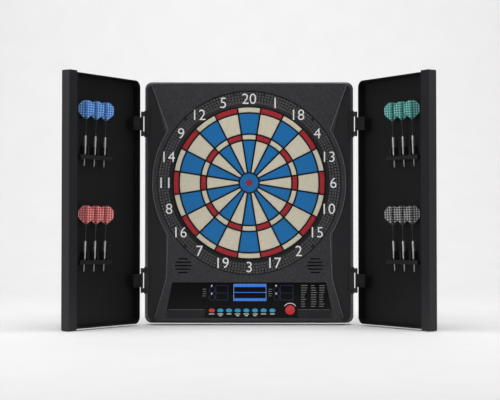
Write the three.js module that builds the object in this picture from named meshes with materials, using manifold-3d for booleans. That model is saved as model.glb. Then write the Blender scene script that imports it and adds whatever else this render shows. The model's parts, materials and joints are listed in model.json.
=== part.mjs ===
// Electronic dart board cabinet: a wall-hung board with a segmented target, a display and buttons,
// and two hinged doors that carry twelve darts in four racks.
// Units are millimetres. +Z is up and the front faces -Y. The origin is the centre of the flat back face.
import * as THREE from 'three';
import { mergeVertices } from 'three/addons/utils/BufferGeometryUtils.js';
import Module from 'manifold-3d';

const wasm = await Module();
wasm.setup();

// ---- Driving dimensions ----
const GAP = 0.3;                 // clearance between neighbouring pieces
const BODY_W = 474;
const BODY_H = 548;
const BODY_D = 46;
const CORNER_R = 16;
const BEVEL_W = 9.5;             // sloped edge of the front housing, across
const BEVEL_D = 18;              // and from front to back
const BEVEL_TOP = 5;             // and at the top and bottom
const WALL = 3;

const BOARD_Z = 44;              // target centre above the body's centre
const RING_R = 209;              // number ring, outside
const RING_BAND = 34.5;          // number ring's width
const RING_IN_R = RING_R - RING_BAND;
const RING_DISH = 4;             // ring's inner edge behind its outer edge
const RING_T = 6;

const WEB = 3;                   // width of the spider's walls
const DOUBLE_BAND = 11.1;
const DOUBLE_R = [RING_IN_R - WEB - DOUBLE_BAND, RING_IN_R - WEB];
const TREBLE_R = [98.7, 109.2];
const BULL_OUT_R = 21.2;
const BULL_IN_R = 7;
const OUTER_R = [TREBLE_R[1] + WEB, DOUBLE_R[0] - WEB];
const INNER_R = [BULL_OUT_R + WEB, TREBLE_R[0] - WEB];
const SPIDER_R = RING_IN_R + 6.5; // spider's lip, behind the number ring
const SPIDER_T = 10.5;
const SEG_SINK = 0.7;            // segment faces behind the spider's front
const FLANGE_T = 2.6;            // rear flange that carries one ring of segments
const SEG_TRAVEL = 1.5;
const MAT_T = 2;
const MEMBRANE_T = 0.6;

const PANEL_BOTTOM_Z = 12 - BODY_H / 2; // control panel pocket in the front housing
const PANEL_TOP_Z = PANEL_BOTTOM_Z + 80.5;
const PANEL_TOP_HALF = BODY_W / 2 - 63;
const PANEL_BOTTOM_HALF = BODY_W / 2 - 47;
const POCKET_D = 2.2;
const LEDGE_T = 3;
const LENS_T = 1.5;
const LENS_STEP_Z = PANEL_BOTTOM_Z + 18; // lens ends here beside its button strip
const WINDOW_INSET = 5;          // opening behind the lens, inside the strip's ends
const BOARD_Y = 11;              // control board behind the front face
const BOARD_T = 1.6;
const DISPLAY_Z = [PANEL_BOTTOM_Z + 31, PANEL_TOP_Z - 5.5];
const BUTTON_Z = PANEL_BOTTOM_Z + 16.9;
const BUTTON_X0 = -84.7;
const BUTTON_COUNT = 8;
const BUTTON_W = 14;
const BUTTON_PITCH = BUTTON_W + 5.6;
const BUTTON_H = 8.7;
const BUTTON_PROUD = 2.5;
const COLLAR = 1.6;              // button collar beyond the cap, all round
const START_X = BUTTON_X0 + (BUTTON_COUNT - 1) * BUTTON_PITCH + 40; // round button
const START_R = 10.9;
const START_PROUD = 4.5;
const START_Z = PANEL_BOTTOM_Z + 18.3;
const STRIP_X = [BUTTON_X0 - 16.3, START_X + 19.5]; // button strip at the lens's lower edge

const BEZEL_R = RING_R + 10;     // raised face's edge beside the number ring
const SIDE_ARC_X = RING_R - 25;  // the edge leaves the ring beyond this distance from the centre line
const SIDE_TOP_X = 15 - BODY_W / 2;
const SIDE_LOW_X = -PANEL_TOP_HALF - 13.8;
const SIDE_LOW_Z = PANEL_TOP_Z + 8;
const SIDE_BOTTOM_X = -PANEL_BOTTOM_HALF - 24;
const SIDE_PIVOT_X = BODY_W / 2 - 57;
const SIDE_STEP = 1.2;
const SIDE_CUT_D = 12;           // depth of the cut that shapes the side
const SIDE_SLOPE = THREE.MathUtils.degToRad(-3);

const SPEAKER_X = SIDE_ARC_X - 34.5; // within the raised centre face
const SPEAKER_Z = PANEL_TOP_Z + 37.7;
const SPEAKER_R = 24;
const SPEAKER_D = 12;
const SLOT_PITCH = 7.7;
const SLOT_H = 3;
const SLOT_LENGTHS = [22, 34, 38, 34, 22];

const COVER_T = 3;
const JACK_X = 150;
const JACK_Y = -14;
const JACK_R = 5;
const JACK_BORE_R = 3.2;
const JACK_DEPTH = 10;
const JACK_BODY = 14;
const RIB_T = 3;
const RIB_X = [-110, 0, 110];
const RIB_Z = [-60, 44, 148];
const RIB_REACH = 60;            // each rib runs on past its outer neighbours
const KEYHOLE_R = 5;
const KEYHOLE_SLOT_R = 2.6;
const KEYHOLE_RISE = 10;
const KEYHOLE_X = 150;
const KEYHOLE_Z = BODY_H / 2 - 69;

const HINGE_OUT = 5;             // hinge axis beyond the body's side
const HINGE_X = BODY_W / 2 + HINGE_OUT;
const HINGE_Y = 5;               // hinge axis in front of the front face
const HINGE_Z = BODY_H / 2 - 97;
const KNUCKLE_R = 2.8;
const PIN_R = 1.3;
const BRACKET_H = 60;
const BRACKET_W = 11.4;
const BRACKET_T = 2.5;           // bracket in front of the front face
const BRACKET_RETURN = 9;        // and down the housing's side
const BRACKET_LIFT = 0.4;        // clearance over the housing
const ARM_HALF = 2.4;            // half the width of the arm that carries a knuckle
const WINDOW_H = 34.3;           // gap between the two bracket knuckles
const KNUCKLE_H = 10.3;
const LEAF_W = 26;
const LEAF_H = 30;
const LEAF_T = 2.5;

const REST_OPEN = THREE.MathUtils.degToRad(124.5);
const DOOR_REACH = HINGE_X - 0.7; // hinge axis to the door's free edge, half the gap between the doors
const DOOR_INSET = 3;            // hinge axis to the door's side wall, and to its rim
const DOOR_H = BODY_H;
const DOOR_D = 21;
const DOOR_PANEL = 2;
const DOOR_WALL = 2.5;
const STILE_W = 26;
const STILE_PROUD = 3.5;         // stile beyond the door at top and bottom

const RACK_U = 147;              // centre of each rack along the door
const RACK_W = 104;
const RACK_H = 28;
const RACK_SHELF = 9;
const RACK_DEPTH = 14;
const RACK_BACK = 2;
const RACK_ZS = [89.5, -138];    // shelf undersides
const RACK_HOLE_R = 2.6;
const PRONG_W = 3;
const PRONG_GAP = 10;

const DART_PITCH = 32.4;
const DART_LEAN = THREE.MathUtils.degToRad(3);
const DART_OFF = 8;              // dart axis off the panel, at the shelf's top
const TIP_DROP = 15.7;           // tip below the shelf
const TIP_R = 1.1;
const BARREL_R = 3;
const BARREL_L = 41.5;
const SHAFT_R = 2;
const SHAFT_L = 35.5;
const FLIGHT_R = 17;
const FLIGHT_L = 41;
const FLIGHT_T = 0.8;

// ---- Small helpers ----
const FRONT = -BODY_D;
const ROUND = 48;                // facets of the large circles
const BARREL_FACETS = 6;
const OVAL_FACETS = 12;
const START_FACETS = 20;

const materials = {};
function plastic(name, color, roughness = 0.55, metalness = 0) {
  materials[name] ??= new THREE.MeshStandardMaterial({ name, color, roughness, metalness });
  return materials[name];
}
const black = plastic('black_plastic', 0x1b1b1e);
const panelBlack = plastic('door_plastic', 0x18181a);
const steel = plastic('steel', 0x8b8d90, 0.35, 1);

function toSolid(geometry) {
  const g = geometry.index ? geometry.clone() : geometry;
  g.deleteAttribute('normal');
  g.deleteAttribute('uv');
  const merged = mergeVertices(g, 1e-4);
  const triVerts = Uint32Array.from(merged.index.array);
  if (signedVolume(merged) < 0) triVerts.reverse();
  const vertProperties = Float32Array.from(merged.attributes.position.array);
  return new wasm.Manifold(new wasm.Mesh({ numProp: 3, vertProperties, triVerts }));
}

function signedVolume(g) {
  const [a, b, c] = [new THREE.Vector3(), new THREE.Vector3(), new THREE.Vector3()];
  let volume = 0;
  for (let i = 0; i < g.index.count; i += 3) {
    a.fromBufferAttribute(g.attributes.position, g.index.getX(i));
    b.fromBufferAttribute(g.attributes.position, g.index.getX(i + 1));
    c.fromBufferAttribute(g.attributes.position, g.index.getX(i + 2));
    volume += a.dot(b.cross(c)) / 6;
  }
  return volume;
}

// The solid's mesh, or its mirror image in X.
function toGeometry(solid, mirror = false) {
  const mesh = solid.getMesh();
  const g = new THREE.BufferGeometry();
  const index = Uint32Array.from(mesh.triVerts);
  g.setAttribute('position', new THREE.BufferAttribute(Float32Array.from(mesh.vertProperties), 3));
  g.setIndex(new THREE.BufferAttribute(mirror ? index.reverse() : index, 1));
  if (mirror) g.scale(-1, 1, 1);
  g.computeVertexNormals();
  return g;
}

const join = (first, ...rest) => rest.reduce((whole, piece) => whole.add(piece), first);
const cut = (first, ...rest) => rest.reduce((whole, piece) => whole.subtract(piece), first);

function box(x0, x1, y0, y1, z0, z1) {
  const g = new THREE.BoxGeometry(x1 - x0, y1 - y0, z1 - z0);
  g.translate((x0 + x1) / 2, (y0 + y1) / 2, (z0 + z1) / 2);
  return toSolid(g);
}

// A flat outline in X and Z, extruded from y0 (front) to y1 (back).
function plate(shape, y0, y1) {
  const g = new THREE.ExtrudeGeometry(shape, { depth: y1 - y0, bevelEnabled: false, curveSegments: 5 });
  g.rotateX(Math.PI / 2);
  g.translate(0, y1, 0);
  return toSolid(g);
}

// A flat outline in X and Y, extruded from z0 to z1.
function upright(points, z0, z1) {
  const g = new THREE.ExtrudeGeometry(outline(points), { depth: z1 - z0, bevelEnabled: false });
  g.translate(0, 0, z0);
  return toSolid(g);
}

function outline(points) {
  return new THREE.Shape(points.map(([x, y]) => new THREE.Vector2(x, y)));
}

function circlePoints(radius, count, cx = 0, cz = 0, turn = 0) {
  return Array.from({ length: count }, (_, i) => {
    const a = turn + (i * 2 * Math.PI) / count;
    return [cx + radius * Math.cos(a), cz + radius * Math.sin(a)];
  });
}

const disc = (radius, y0, y1, cx = 0, cz = 0, count = ROUND) =>
  plate(outline(circlePoints(radius, count, cx, cz)), y0, y1);

// A rectangle in X and Z with its own radius at each side.
function roundRect(x0, x1, z0, z1, leftR, rightR = leftR) {
  const s = new THREE.Shape();
  s.moveTo(x0 + leftR, z0);
  s.lineTo(x1 - rightR, z0);
  if (rightR) s.absarc(x1 - rightR, z0 + rightR, rightR, -Math.PI / 2, 0);
  s.lineTo(x1, z1 - rightR);
  if (rightR) s.absarc(x1 - rightR, z1 - rightR, rightR, 0, Math.PI / 2);
  s.lineTo(x0 + leftR, z1);
  if (leftR) s.absarc(x0 + leftR, z1 - leftR, leftR, Math.PI / 2, Math.PI);
  s.lineTo(x0, z0 + leftR);
  if (leftR) s.absarc(x0 + leftR, z0 + leftR, leftR, Math.PI, 1.5 * Math.PI);
  return s;
}

function ellipse(width, height, y0, y1, cx, cz, count) {
  const points = circlePoints(1, count).map(([c, s]) => [cx + (c * width) / 2, cz + (s * height) / 2]);
  return plate(outline(points), y0, y1);
}

// A closed profile of [radius, y] points, turned about a line parallel to Y through (cx, cz).
function turned(profile, count, cx = 0, cz = BOARD_Z) {
  const points = [...profile, profile[0]].map(([r, y]) => new THREE.Vector2(r, y));
  const g = new THREE.LatheGeometry(points, count);
  g.translate(cx, 0, cz);
  return toSolid(g);
}

// A solid that runs from one convex outline to the next: sections of {y, points: [[x, z], ...]}.
function loft(sections) {
  const n = sections[0].points.length;
  const positions = sections.flatMap(({ y, points }) => points.flatMap(([x, z]) => [x, y, z]));
  const index = [];
  for (let s = 0; s + 1 < sections.length; s++) {
    for (let i = 0; i < n; i++) {
      const a = s * n + i;
      const b = s * n + ((i + 1) % n);
      index.push(a, b, b + n, a, b + n, a + n);
    }
  }
  const last = (sections.length - 1) * n;
  for (let i = 1; i + 1 < n; i++) {
    index.push(0, i + 1, i, last, last + i, last + i + 1);
  }
  const g = new THREE.BufferGeometry();
  g.setAttribute('position', new THREE.Float32BufferAttribute(positions, 3));
  g.setIndex(index);
  return toSolid(g);
}

const board = new THREE.Group();
board.name = 'dart_board_cabinet';

function addPiece(group, name, solid, material, mirror = false) {
  const mesh = new THREE.Mesh(toGeometry(solid, mirror), material);
  mesh.name = name;
  group.add(mesh);
}

// ---- Front housing: a shell with sloped sides, open at the back ----
function housingOutline(insetX, insetZ, radius) {
  const [hx, hz] = [BODY_W / 2 - insetX, BODY_H / 2 - insetZ];
  return roundRect(-hx, hx, -hz, hz, radius).getPoints(4).map((p) => [p.x, p.y]);
}

function panelOutline(inset, bottomZ = PANEL_BOTTOM_Z) {
  const slope = (PANEL_BOTTOM_HALF - PANEL_TOP_HALF) / (PANEL_TOP_Z - PANEL_BOTTOM_Z);
  const [top, bottom] = [PANEL_TOP_Z - inset, bottomZ + inset];
  const half = (z) => PANEL_TOP_HALF + slope * (PANEL_TOP_Z - z) - inset;
  return [[-half(top), top], [-half(bottom), bottom], [half(bottom), bottom], [half(top), top]];
}

// The zone beside the raised centre face: it follows the bezel round the ring and slopes back.
// With a depth it is moved in and back by a wall, which shapes the inside of the shell.
function sideZone(side, depth = 0) {
  const arcs = circlePoints(BEZEL_R, 60, 0, BOARD_Z, Math.PI)
    .filter(([x, z]) => x < -SIDE_ARC_X && Math.abs(z - BOARD_Z) < BEZEL_R);
  arcs.sort((p, q) => q[1] - p[1]);
  const beyond = BODY_H / 2 + 5;
  const inner = [[SIDE_TOP_X, beyond], ...arcs, [SIDE_LOW_X, SIDE_LOW_Z], [SIDE_BOTTOM_X, -beyond]];
  const points = [...inner, [-BODY_W, -beyond], [-BODY_W, beyond]];
  const g = new THREE.ExtrudeGeometry(outline(points), { depth: SIDE_CUT_D, bevelEnabled: false });
  g.rotateX(Math.PI / 2);
  g.translate(SIDE_PIVOT_X, 0, 0);
  g.rotateZ(SIDE_SLOPE);
  g.translate(depth - SIDE_PIVOT_X, FRONT + SIDE_STEP + depth, 0);
  if (side > 0) g.scale(-1, 1, 1);
  return toSolid(g);
}

function frontHousing() {
  const lowerY = FRONT + BEVEL_D;
  const outer = loft([
    { y: FRONT, points: housingOutline(BEVEL_W, BEVEL_TOP, CORNER_R) },
    { y: lowerY, points: housingOutline(0, 0, CORNER_R) },
    { y: 0, points: housingOutline(0, 0, CORNER_R) },
  ]);
  const cavity = loft([
    { y: FRONT + WALL, points: housingOutline(BEVEL_W + 2, BEVEL_TOP + 2, CORNER_R - WALL) },
    { y: lowerY, points: housingOutline(WALL, WALL, CORNER_R - WALL) },
    { y: 1, points: housingOutline(WALL, WALL, CORNER_R - WALL) },
  ]);
  const ledgeY = FRONT + POCKET_D + LEDGE_T;
  const ledge = plate(outline(panelOutline(-4)), FRONT + 1, ledgeY);
  const hollow = cut(cavity, sideZone(-1, WALL), sideZone(1, WALL));
  const shell = join(cut(outer, hollow), ledge);
  const window = box(STRIP_X[0] + WINDOW_INSET, STRIP_X[1] - WINDOW_INSET, FRONT, ledgeY + 1,
    PANEL_BOTTOM_Z + WINDOW_INSET, PANEL_TOP_Z - WINDOW_INSET);
  const cuts = [
    sideZone(-1),
    sideZone(1),
    disc(RING_R + GAP, FRONT - 1, FRONT + WALL + 1, 0, BOARD_Z),
    plate(outline(panelOutline(0)), FRONT - 1, FRONT + POCKET_D),
    window,
    upright(circlePoints(JACK_R + GAP, 12, JACK_X, JACK_Y), -BODY_H / 2 - 1, -BODY_H / 2 + WALL + 1),
  ];
  for (const side of [-1, 1]) {
    SLOT_LENGTHS.forEach((length, i) => {
      const z = SPEAKER_Z + (i - (SLOT_LENGTHS.length - 1) / 2) * SLOT_PITCH;
      const x = side * SPEAKER_X;
      const [x0, x1, z0, z1] = [x - length / 2, x + length / 2, z - SLOT_H / 2, z + SLOT_H / 2];
      cuts.push(box(x0, x1, FRONT - 1, FRONT + WALL + 1, z0, z1));
    });
  }
  return cut(shell, ...cuts);
}

function rearCover() {
  const inset = WALL + GAP;
  const back = plate(outline(housingOutline(inset, inset, CORNER_R - inset)), -COVER_T, 0);
  const [x0, x1] = [RIB_X[0] - RIB_REACH, RIB_X[2] + RIB_REACH];
  const [z0, z1] = [RIB_Z[0] - RIB_REACH, RIB_Z[2] + RIB_REACH];
  const ribFront = MEMBRANE_BACK + GAP;
  const uprights = RIB_X.map((x) => box(x - RIB_T / 2, x + RIB_T / 2, ribFront, -COVER_T / 2, z0, z1));
  const rails = RIB_Z.map((z) => box(x0, x1, ribFront, -COVER_T / 2, z - RIB_T / 2, z + RIB_T / 2));
  const keyholes = [-1, 1].flatMap((side) => [
    disc(KEYHOLE_R, -COVER_T - 1, 1, side * KEYHOLE_X, KEYHOLE_Z, 12),
    box(side * KEYHOLE_X - KEYHOLE_SLOT_R, side * KEYHOLE_X + KEYHOLE_SLOT_R, -COVER_T - 1, 1,
      KEYHOLE_Z, KEYHOLE_Z + KEYHOLE_RISE),
  ]);
  return cut(join(back, ...uprights, ...rails), ...keyholes);
}

// ---- Target: number ring, spider, segments, mat and sensor, from front to back ----
const RING_FRONT = FRONT + WALL + GAP;
const RING_INNER_FRONT = RING_FRONT + RING_DISH;
const RING_BACK = RING_INNER_FRONT + RING_T;
const RING_LIP = 5;              // ring reaches this far behind the housing's front wall
const SPIDER_FRONT = RING_INNER_FRONT - 0.6;
const SPIDER_BACK = SPIDER_FRONT + SPIDER_T;
const SPIDER_LIP_FRONT = RING_BACK + 0.4;
const SEG_FRONT = SPIDER_FRONT + SEG_SINK;
const FLANGE_FRONT = SPIDER_BACK + 0.5;
const FLANGE_BACK = FLANGE_FRONT + FLANGE_T;
const MAT_FRONT = FLANGE_BACK + SEG_TRAVEL + GAP;
const MAT_BACK = MAT_FRONT + MAT_T;
const MEMBRANE_FRONT = MAT_BACK + GAP;
const MEMBRANE_BACK = MEMBRANE_FRONT + MEMBRANE_T;
const SECTORS = 20;
const RING_FACETS = 2 * SECTORS;
const MAT_R = SPIDER_R - 3;

function numberRing() {
  const outerR = RING_R + RING_LIP;
  return turned([
    [RING_IN_R, RING_INNER_FRONT],
    [RING_R - GAP, RING_FRONT],
    [outerR, RING_FRONT],
    [outerR, RING_BACK - 1],
    [RING_IN_R, RING_BACK],
  ], RING_FACETS);
}

// One cell of a ring of cells: between two radii and two radial walls, centred on a direction.
function cell([r0, r1], centre, wallWidth) {
  const halfAngle = (r) => Math.PI / SECTORS - Math.asin(wallWidth / 2 / r);
  const at = (r, a) => [r * Math.cos(centre + a), BOARD_Z + r * Math.sin(centre + a)];
  const outer = [at(r1, -halfAngle(r1)), at(r1, 0), at(r1, halfAngle(r1))];
  const inner = [at(r0, halfAngle(r0)), at(r0, 0), at(r0, -halfAngle(r0))];
  return [...outer, ...inner];
}

const sectorAngles = Array.from({ length: SECTORS }, (_, k) => Math.PI / 2 - (k * 2 * Math.PI) / SECTORS);
const grown = ([r0, r1]) => [r0 - GAP, r1 + GAP];

function spider() {
  const web = outline(circlePoints(RING_IN_R - GAP, RING_FACETS, 0, BOARD_Z));
  const holes = [DOUBLE_R, OUTER_R, TREBLE_R, INNER_R].flatMap((radii) =>
    sectorAngles.map((a) => outline(cell(grown(radii), a, WEB - 2 * GAP))));
  holes.push(outline(circlePoints(BULL_OUT_R + GAP, SECTORS, 0, BOARD_Z)));
  web.holes.push(...holes);
  const lip = turned([
    [RING_IN_R - 1.5, SPIDER_LIP_FRONT],
    [SPIDER_R, SPIDER_LIP_FRONT],
    [SPIDER_R, SPIDER_BACK],
    [RING_IN_R - 1.5, SPIDER_BACK],
  ], RING_FACETS);
  return join(plate(web, SPIDER_FRONT, SPIDER_BACK), lip);
}

// Twenty segments of one ring, joined by the flange behind the spider.
function segmentRing(radii, flangeRadii) {
  const [f0, f1] = flangeRadii;
  const profile = [[f0, FLANGE_FRONT], [f1, FLANGE_FRONT], [f1, FLANGE_BACK], [f0, FLANGE_BACK]];
  const blocks = sectorAngles.map((a) => plate(outline(cell(radii, a, WEB)), SEG_FRONT, FLANGE_FRONT + 1));
  return join(turned(profile, RING_FACETS), ...blocks);
}

const webMiddles = [
  BULL_OUT_R + WEB / 2,
  (INNER_R[1] + TREBLE_R[0]) / 2,
  (TREBLE_R[1] + OUTER_R[0]) / 2,
  (OUTER_R[1] + DOUBLE_R[0]) / 2,
  DOUBLE_R[1] + WEB / 2,
];
const flangeBetween = (i) => [webMiddles[i] + GAP / 2, webMiddles[i + 1] - GAP / 2];

const BULL_FLANGE_R = BULL_IN_R + 3;
const BULL_STEP = FLANGE_FRONT + GAP; // outer bull's step, in front of the inner bull's flange
const BULL_FLANGE_FRONT = BULL_STEP + SEG_TRAVEL + GAP;

function outerBull() {
  return turned([
    [BULL_IN_R + GAP, SEG_FRONT],
    [BULL_OUT_R, SEG_FRONT],
    [BULL_OUT_R, FLANGE_FRONT],
    [webMiddles[0] - GAP, FLANGE_FRONT],
    [webMiddles[0] - GAP, FLANGE_BACK],
    [BULL_FLANGE_R + GAP, FLANGE_BACK],
    [BULL_FLANGE_R + GAP, BULL_STEP],
    [BULL_IN_R + GAP, BULL_STEP],
  ], SECTORS);
}

function innerBull() {
  return turned([
    [0, SEG_FRONT],
    [BULL_IN_R, SEG_FRONT],
    [BULL_IN_R, BULL_FLANGE_FRONT],
    [BULL_FLANGE_R, BULL_FLANGE_FRONT],
    [BULL_FLANGE_R, FLANGE_BACK],
    [0, FLANGE_BACK],
  ], SECTORS);
}

// ---- Control panel: lens, display, board, buttons ----
function buttonX(i) {
  return BUTTON_X0 + i * BUTTON_PITCH;
}

function displayLens() {
  const [a, b, c, d] = panelOutline(GAP, LENS_STEP_Z - GAP);
  const [s0, s1] = STRIP_X;
  const low = PANEL_BOTTOM_Z + GAP;
  const shape = outline([a, b, [s0, LENS_STEP_Z], [s0, low], [s1, low], [s1, LENS_STEP_Z], c, d]);
  const front = FRONT + POCKET_D - LENS_T - GAP;
  const [y0, y1] = [front - 1, front + LENS_T + 1];
  const [holeW, holeH] = [BUTTON_W + 2 * GAP, BUTTON_H + 2 * GAP];
  const holes = Array.from({ length: BUTTON_COUNT }, (_, i) =>
    ellipse(holeW, holeH, y0, y1, buttonX(i), BUTTON_Z, OVAL_FACETS));
  const start = disc(START_R + GAP, y0, y1, START_X, START_Z, START_FACETS);
  return cut(plate(shape, front, front + LENS_T), ...holes, start);
}

const COLLAR_FRONT = FRONT + POCKET_D + GAP;
const COLLAR_BACK = COLLAR_FRONT + 1.5;

function ovalButton(i) {
  const [collarW, collarH] = [BUTTON_W + 2 * COLLAR, BUTTON_H + 2 * COLLAR];
  const x = buttonX(i);
  const cap = ellipse(BUTTON_W, BUTTON_H, FRONT - BUTTON_PROUD, COLLAR_BACK, x, BUTTON_Z, OVAL_FACETS);
  const collar = ellipse(collarW, collarH, COLLAR_FRONT, COLLAR_BACK, x, BUTTON_Z, OVAL_FACETS);
  return join(cap, collar);
}

function startButton() {
  const cap = disc(START_R, FRONT - START_PROUD, COLLAR_BACK, START_X, START_Z, START_FACETS);
  const collar = disc(START_R + 1, COLLAR_FRONT, COLLAR_BACK, START_X, START_Z, START_FACETS);
  return join(cap, collar);
}

function controlBoard() {
  const [x0, x1] = [STRIP_X[0] + WINDOW_INSET, STRIP_X[1] - WINDOW_INSET];
  return box(x0, x1, FRONT + BOARD_Y, FRONT + BOARD_Y + BOARD_T, PANEL_BOTTOM_Z + WINDOW_INSET, DISPLAY_Z[1]);
}

function displayModule() {
  const [x0, x1] = [STRIP_X[0] + WINDOW_INSET + 1, STRIP_X[1] - WINDOW_INSET - 1];
  return box(x0, x1, FRONT + POCKET_D + GAP, FRONT + BOARD_Y - GAP, DISPLAY_Z[0], DISPLAY_Z[1]);
}

function speaker(side) {
  const front = FRONT + WALL + GAP;
  return turned([
    [0, front + 4],
    [SPEAKER_R - 4, front],
    [SPEAKER_R, front],
    [SPEAKER_R, front + 2],
    [SPEAKER_R / 2, front + SPEAKER_D],
    [0, front + SPEAKER_D],
  ], 16, side * SPEAKER_X, SPEAKER_Z);
}

function powerJack() {
  const mouth = -BODY_H / 2;
  const bodyBase = mouth + WALL + GAP;
  const half = JACK_BODY / 2;
  const nose = upright(circlePoints(JACK_R, 12, JACK_X, JACK_Y), mouth, bodyBase + 1);
  const [x0, x1, y0, y1] = [JACK_X - half, JACK_X + half, JACK_Y - half, JACK_Y + half];
  const body = box(x0, x1, y0, y1, bodyBase, bodyBase + JACK_BODY);
  const bore = upright(circlePoints(JACK_BORE_R, 12, JACK_X, JACK_Y), mouth - 1, mouth + JACK_DEPTH);
  return cut(join(nose, body), bore);
}

// ---- Hinges ----
const hingeY = FRONT - HINGE_Y;

// The bracket follows the housing's sloped side zone and reaches out to the hinge axis.
function hingeBracket(z) {
  const half = BODY_W / 2;
  const zoneY = (x) => FRONT + SIDE_STEP + (x - SIDE_PIVOT_X) * Math.tan(-SIDE_SLOPE);
  const slopeX = (y) => half - BEVEL_W + (BEVEL_W * (y - FRONT)) / BEVEL_D;
  const inner = half - BRACKET_W;
  const edgeY = zoneY(half - BEVEL_W + 2);
  const front = FRONT - BRACKET_T;
  const returnY = FRONT + BRACKET_RETURN;
  const profile = [
    [-inner, front],
    [-inner, zoneY(inner) - BRACKET_LIFT],
    [-slopeX(edgeY) - BRACKET_LIFT / 2, edgeY - BRACKET_LIFT],
    [-slopeX(returnY) - BRACKET_LIFT, returnY],
    [-half + 0.5, returnY],
    [-half - 0.5, front],
  ];
  const plateSolid = upright(profile, z - BRACKET_H / 2, z + BRACKET_H / 2);
  const arm = [[-half + 1, FRONT + 3], [-half + 1, front - 0.5],
    [-HINGE_X + KNUCKLE_R / 2, hingeY - ARM_HALF], [-HINGE_X - ARM_HALF, hingeY + KNUCKLE_R / 2]];
  const knuckles = [-1, 1].flatMap((end) => {
    const [a, b] = [WINDOW_H / 2, WINDOW_H / 2 + KNUCKLE_H];
    const [z0, z1] = end < 0 ? [z - b, z - a] : [z + a, z + b];
    return [upright(arm, z0, z1), upright(circlePoints(KNUCKLE_R, 10, -HINGE_X, hingeY), z0, z1)];
  });
  const bore = upright(circlePoints(PIN_R + GAP, 8, -HINGE_X, hingeY), z - BRACKET_H, z + BRACKET_H);
  return cut(join(plateSolid, ...knuckles), bore);
}

function hingePin(z) {
  const half = WINDOW_H / 2 + KNUCKLE_H + 1;
  return upright(circlePoints(PIN_R, 8, -HINGE_X, hingeY), z - half, z + half);
}

// In the door's own axes: the hinge axis is the origin, X runs along the closed door, Y towards the cabinet.
function hingeLeaf(z) {
  const face = -DOOR_INSET + GAP;
  const leaf = box(0, DOOR_INSET + LEAF_W, face, face + LEAF_T, z - LEAF_H / 2, z + LEAF_H / 2);
  const half = WINDOW_H / 2 - GAP;
  const knuckle = upright(circlePoints(KNUCKLE_R, 10), z - half, z + half);
  const bore = upright(circlePoints(PIN_R + GAP, 8), z - BRACKET_H, z + BRACKET_H);
  return cut(join(leaf, knuckle), bore);
}

// ---- Doors, in the door's own axes ----
const RIM_Y = -DOOR_INSET;
const OUTSIDE_Y = RIM_Y - DOOR_D;
const PANEL_Y = OUTSIDE_Y + DOOR_PANEL;
const STILE_X = DOOR_REACH - STILE_W;

function doorShell() {
  const [x0, x1, h] = [DOOR_INSET, STILE_X - GAP, DOOR_H / 2];
  const outer = plate(roundRect(x0, x1, -h, h, CORNER_R, 0), OUTSIDE_Y, RIM_Y);
  const [u0, u1, v] = [x0 + DOOR_WALL, x1 - DOOR_WALL, h - DOOR_WALL];
  const inside = roundRect(u0, u1, -v, v, CORNER_R - DOOR_WALL, 0);
  const tray = cut(outer, plate(inside, PANEL_Y, RIM_Y + 1));
  const bosses = [-HINGE_Z, HINGE_Z].map((z) =>
    box(x0 + 1, x0 + LEAF_W - 4, OUTSIDE_Y + 1, RIM_Y, z - LEAF_H / 2 + 3, z + LEAF_H / 2 - 3));
  return join(tray, ...bosses);
}

// A hollow bar, open towards the door's side wall.
function doorStile() {
  const h = DOOR_H / 2 + STILE_PROUD;
  const bar = plate(roundRect(STILE_X, DOOR_REACH, -h, h, 0, 3), OUTSIDE_Y, RIM_Y);
  const hollow = box(STILE_X - 1, DOOR_REACH - DOOR_WALL, OUTSIDE_Y + DOOR_WALL, RIM_Y - DOOR_WALL,
    -h + DOOR_WALL + STILE_PROUD, h - DOOR_WALL - STILE_PROUD);
  return cut(bar, hollow);
}

function dartRack(shelfZ) {
  const [x0, x1] = [RACK_U - RACK_W / 2, RACK_U + RACK_W / 2];
  const y0 = PANEL_Y + GAP;
  const shelf = box(x0, x1, y0, y0 + RACK_DEPTH, shelfZ, shelfZ + RACK_SHELF);
  const back = box(x0, x1, y0, y0 + RACK_BACK, shelfZ, shelfZ + RACK_H);
  const prongs = [-1, 0, 1].flatMap((i) => [-1, 1].map((side) => {
    const x = RACK_U + i * DART_PITCH + (side * (PRONG_GAP + PRONG_W)) / 2;
    return box(x - PRONG_W / 2, x + PRONG_W / 2, y0, y0 + RACK_DEPTH - 1, shelfZ + 1, shelfZ + RACK_H);
  }));
  const holes = [-1, 0, 1].map((i) => {
    const points = circlePoints(RACK_HOLE_R, 6, RACK_U + i * DART_PITCH, PANEL_Y + DART_OFF - 0.4);
    return upright(points, shelfZ - 1, shelfZ + RACK_SHELF + 1);
  });
  return cut(join(shelf, back, ...prongs), ...holes);
}

// ---- Dart: its own +Z runs from the point to the flight ----
const TIP_L = (TIP_DROP + RACK_SHELF) / Math.cos(DART_LEAN) + 2 * GAP;
const DART_L = TIP_L + BARREL_L + SHAFT_L + FLIGHT_L;

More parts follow.
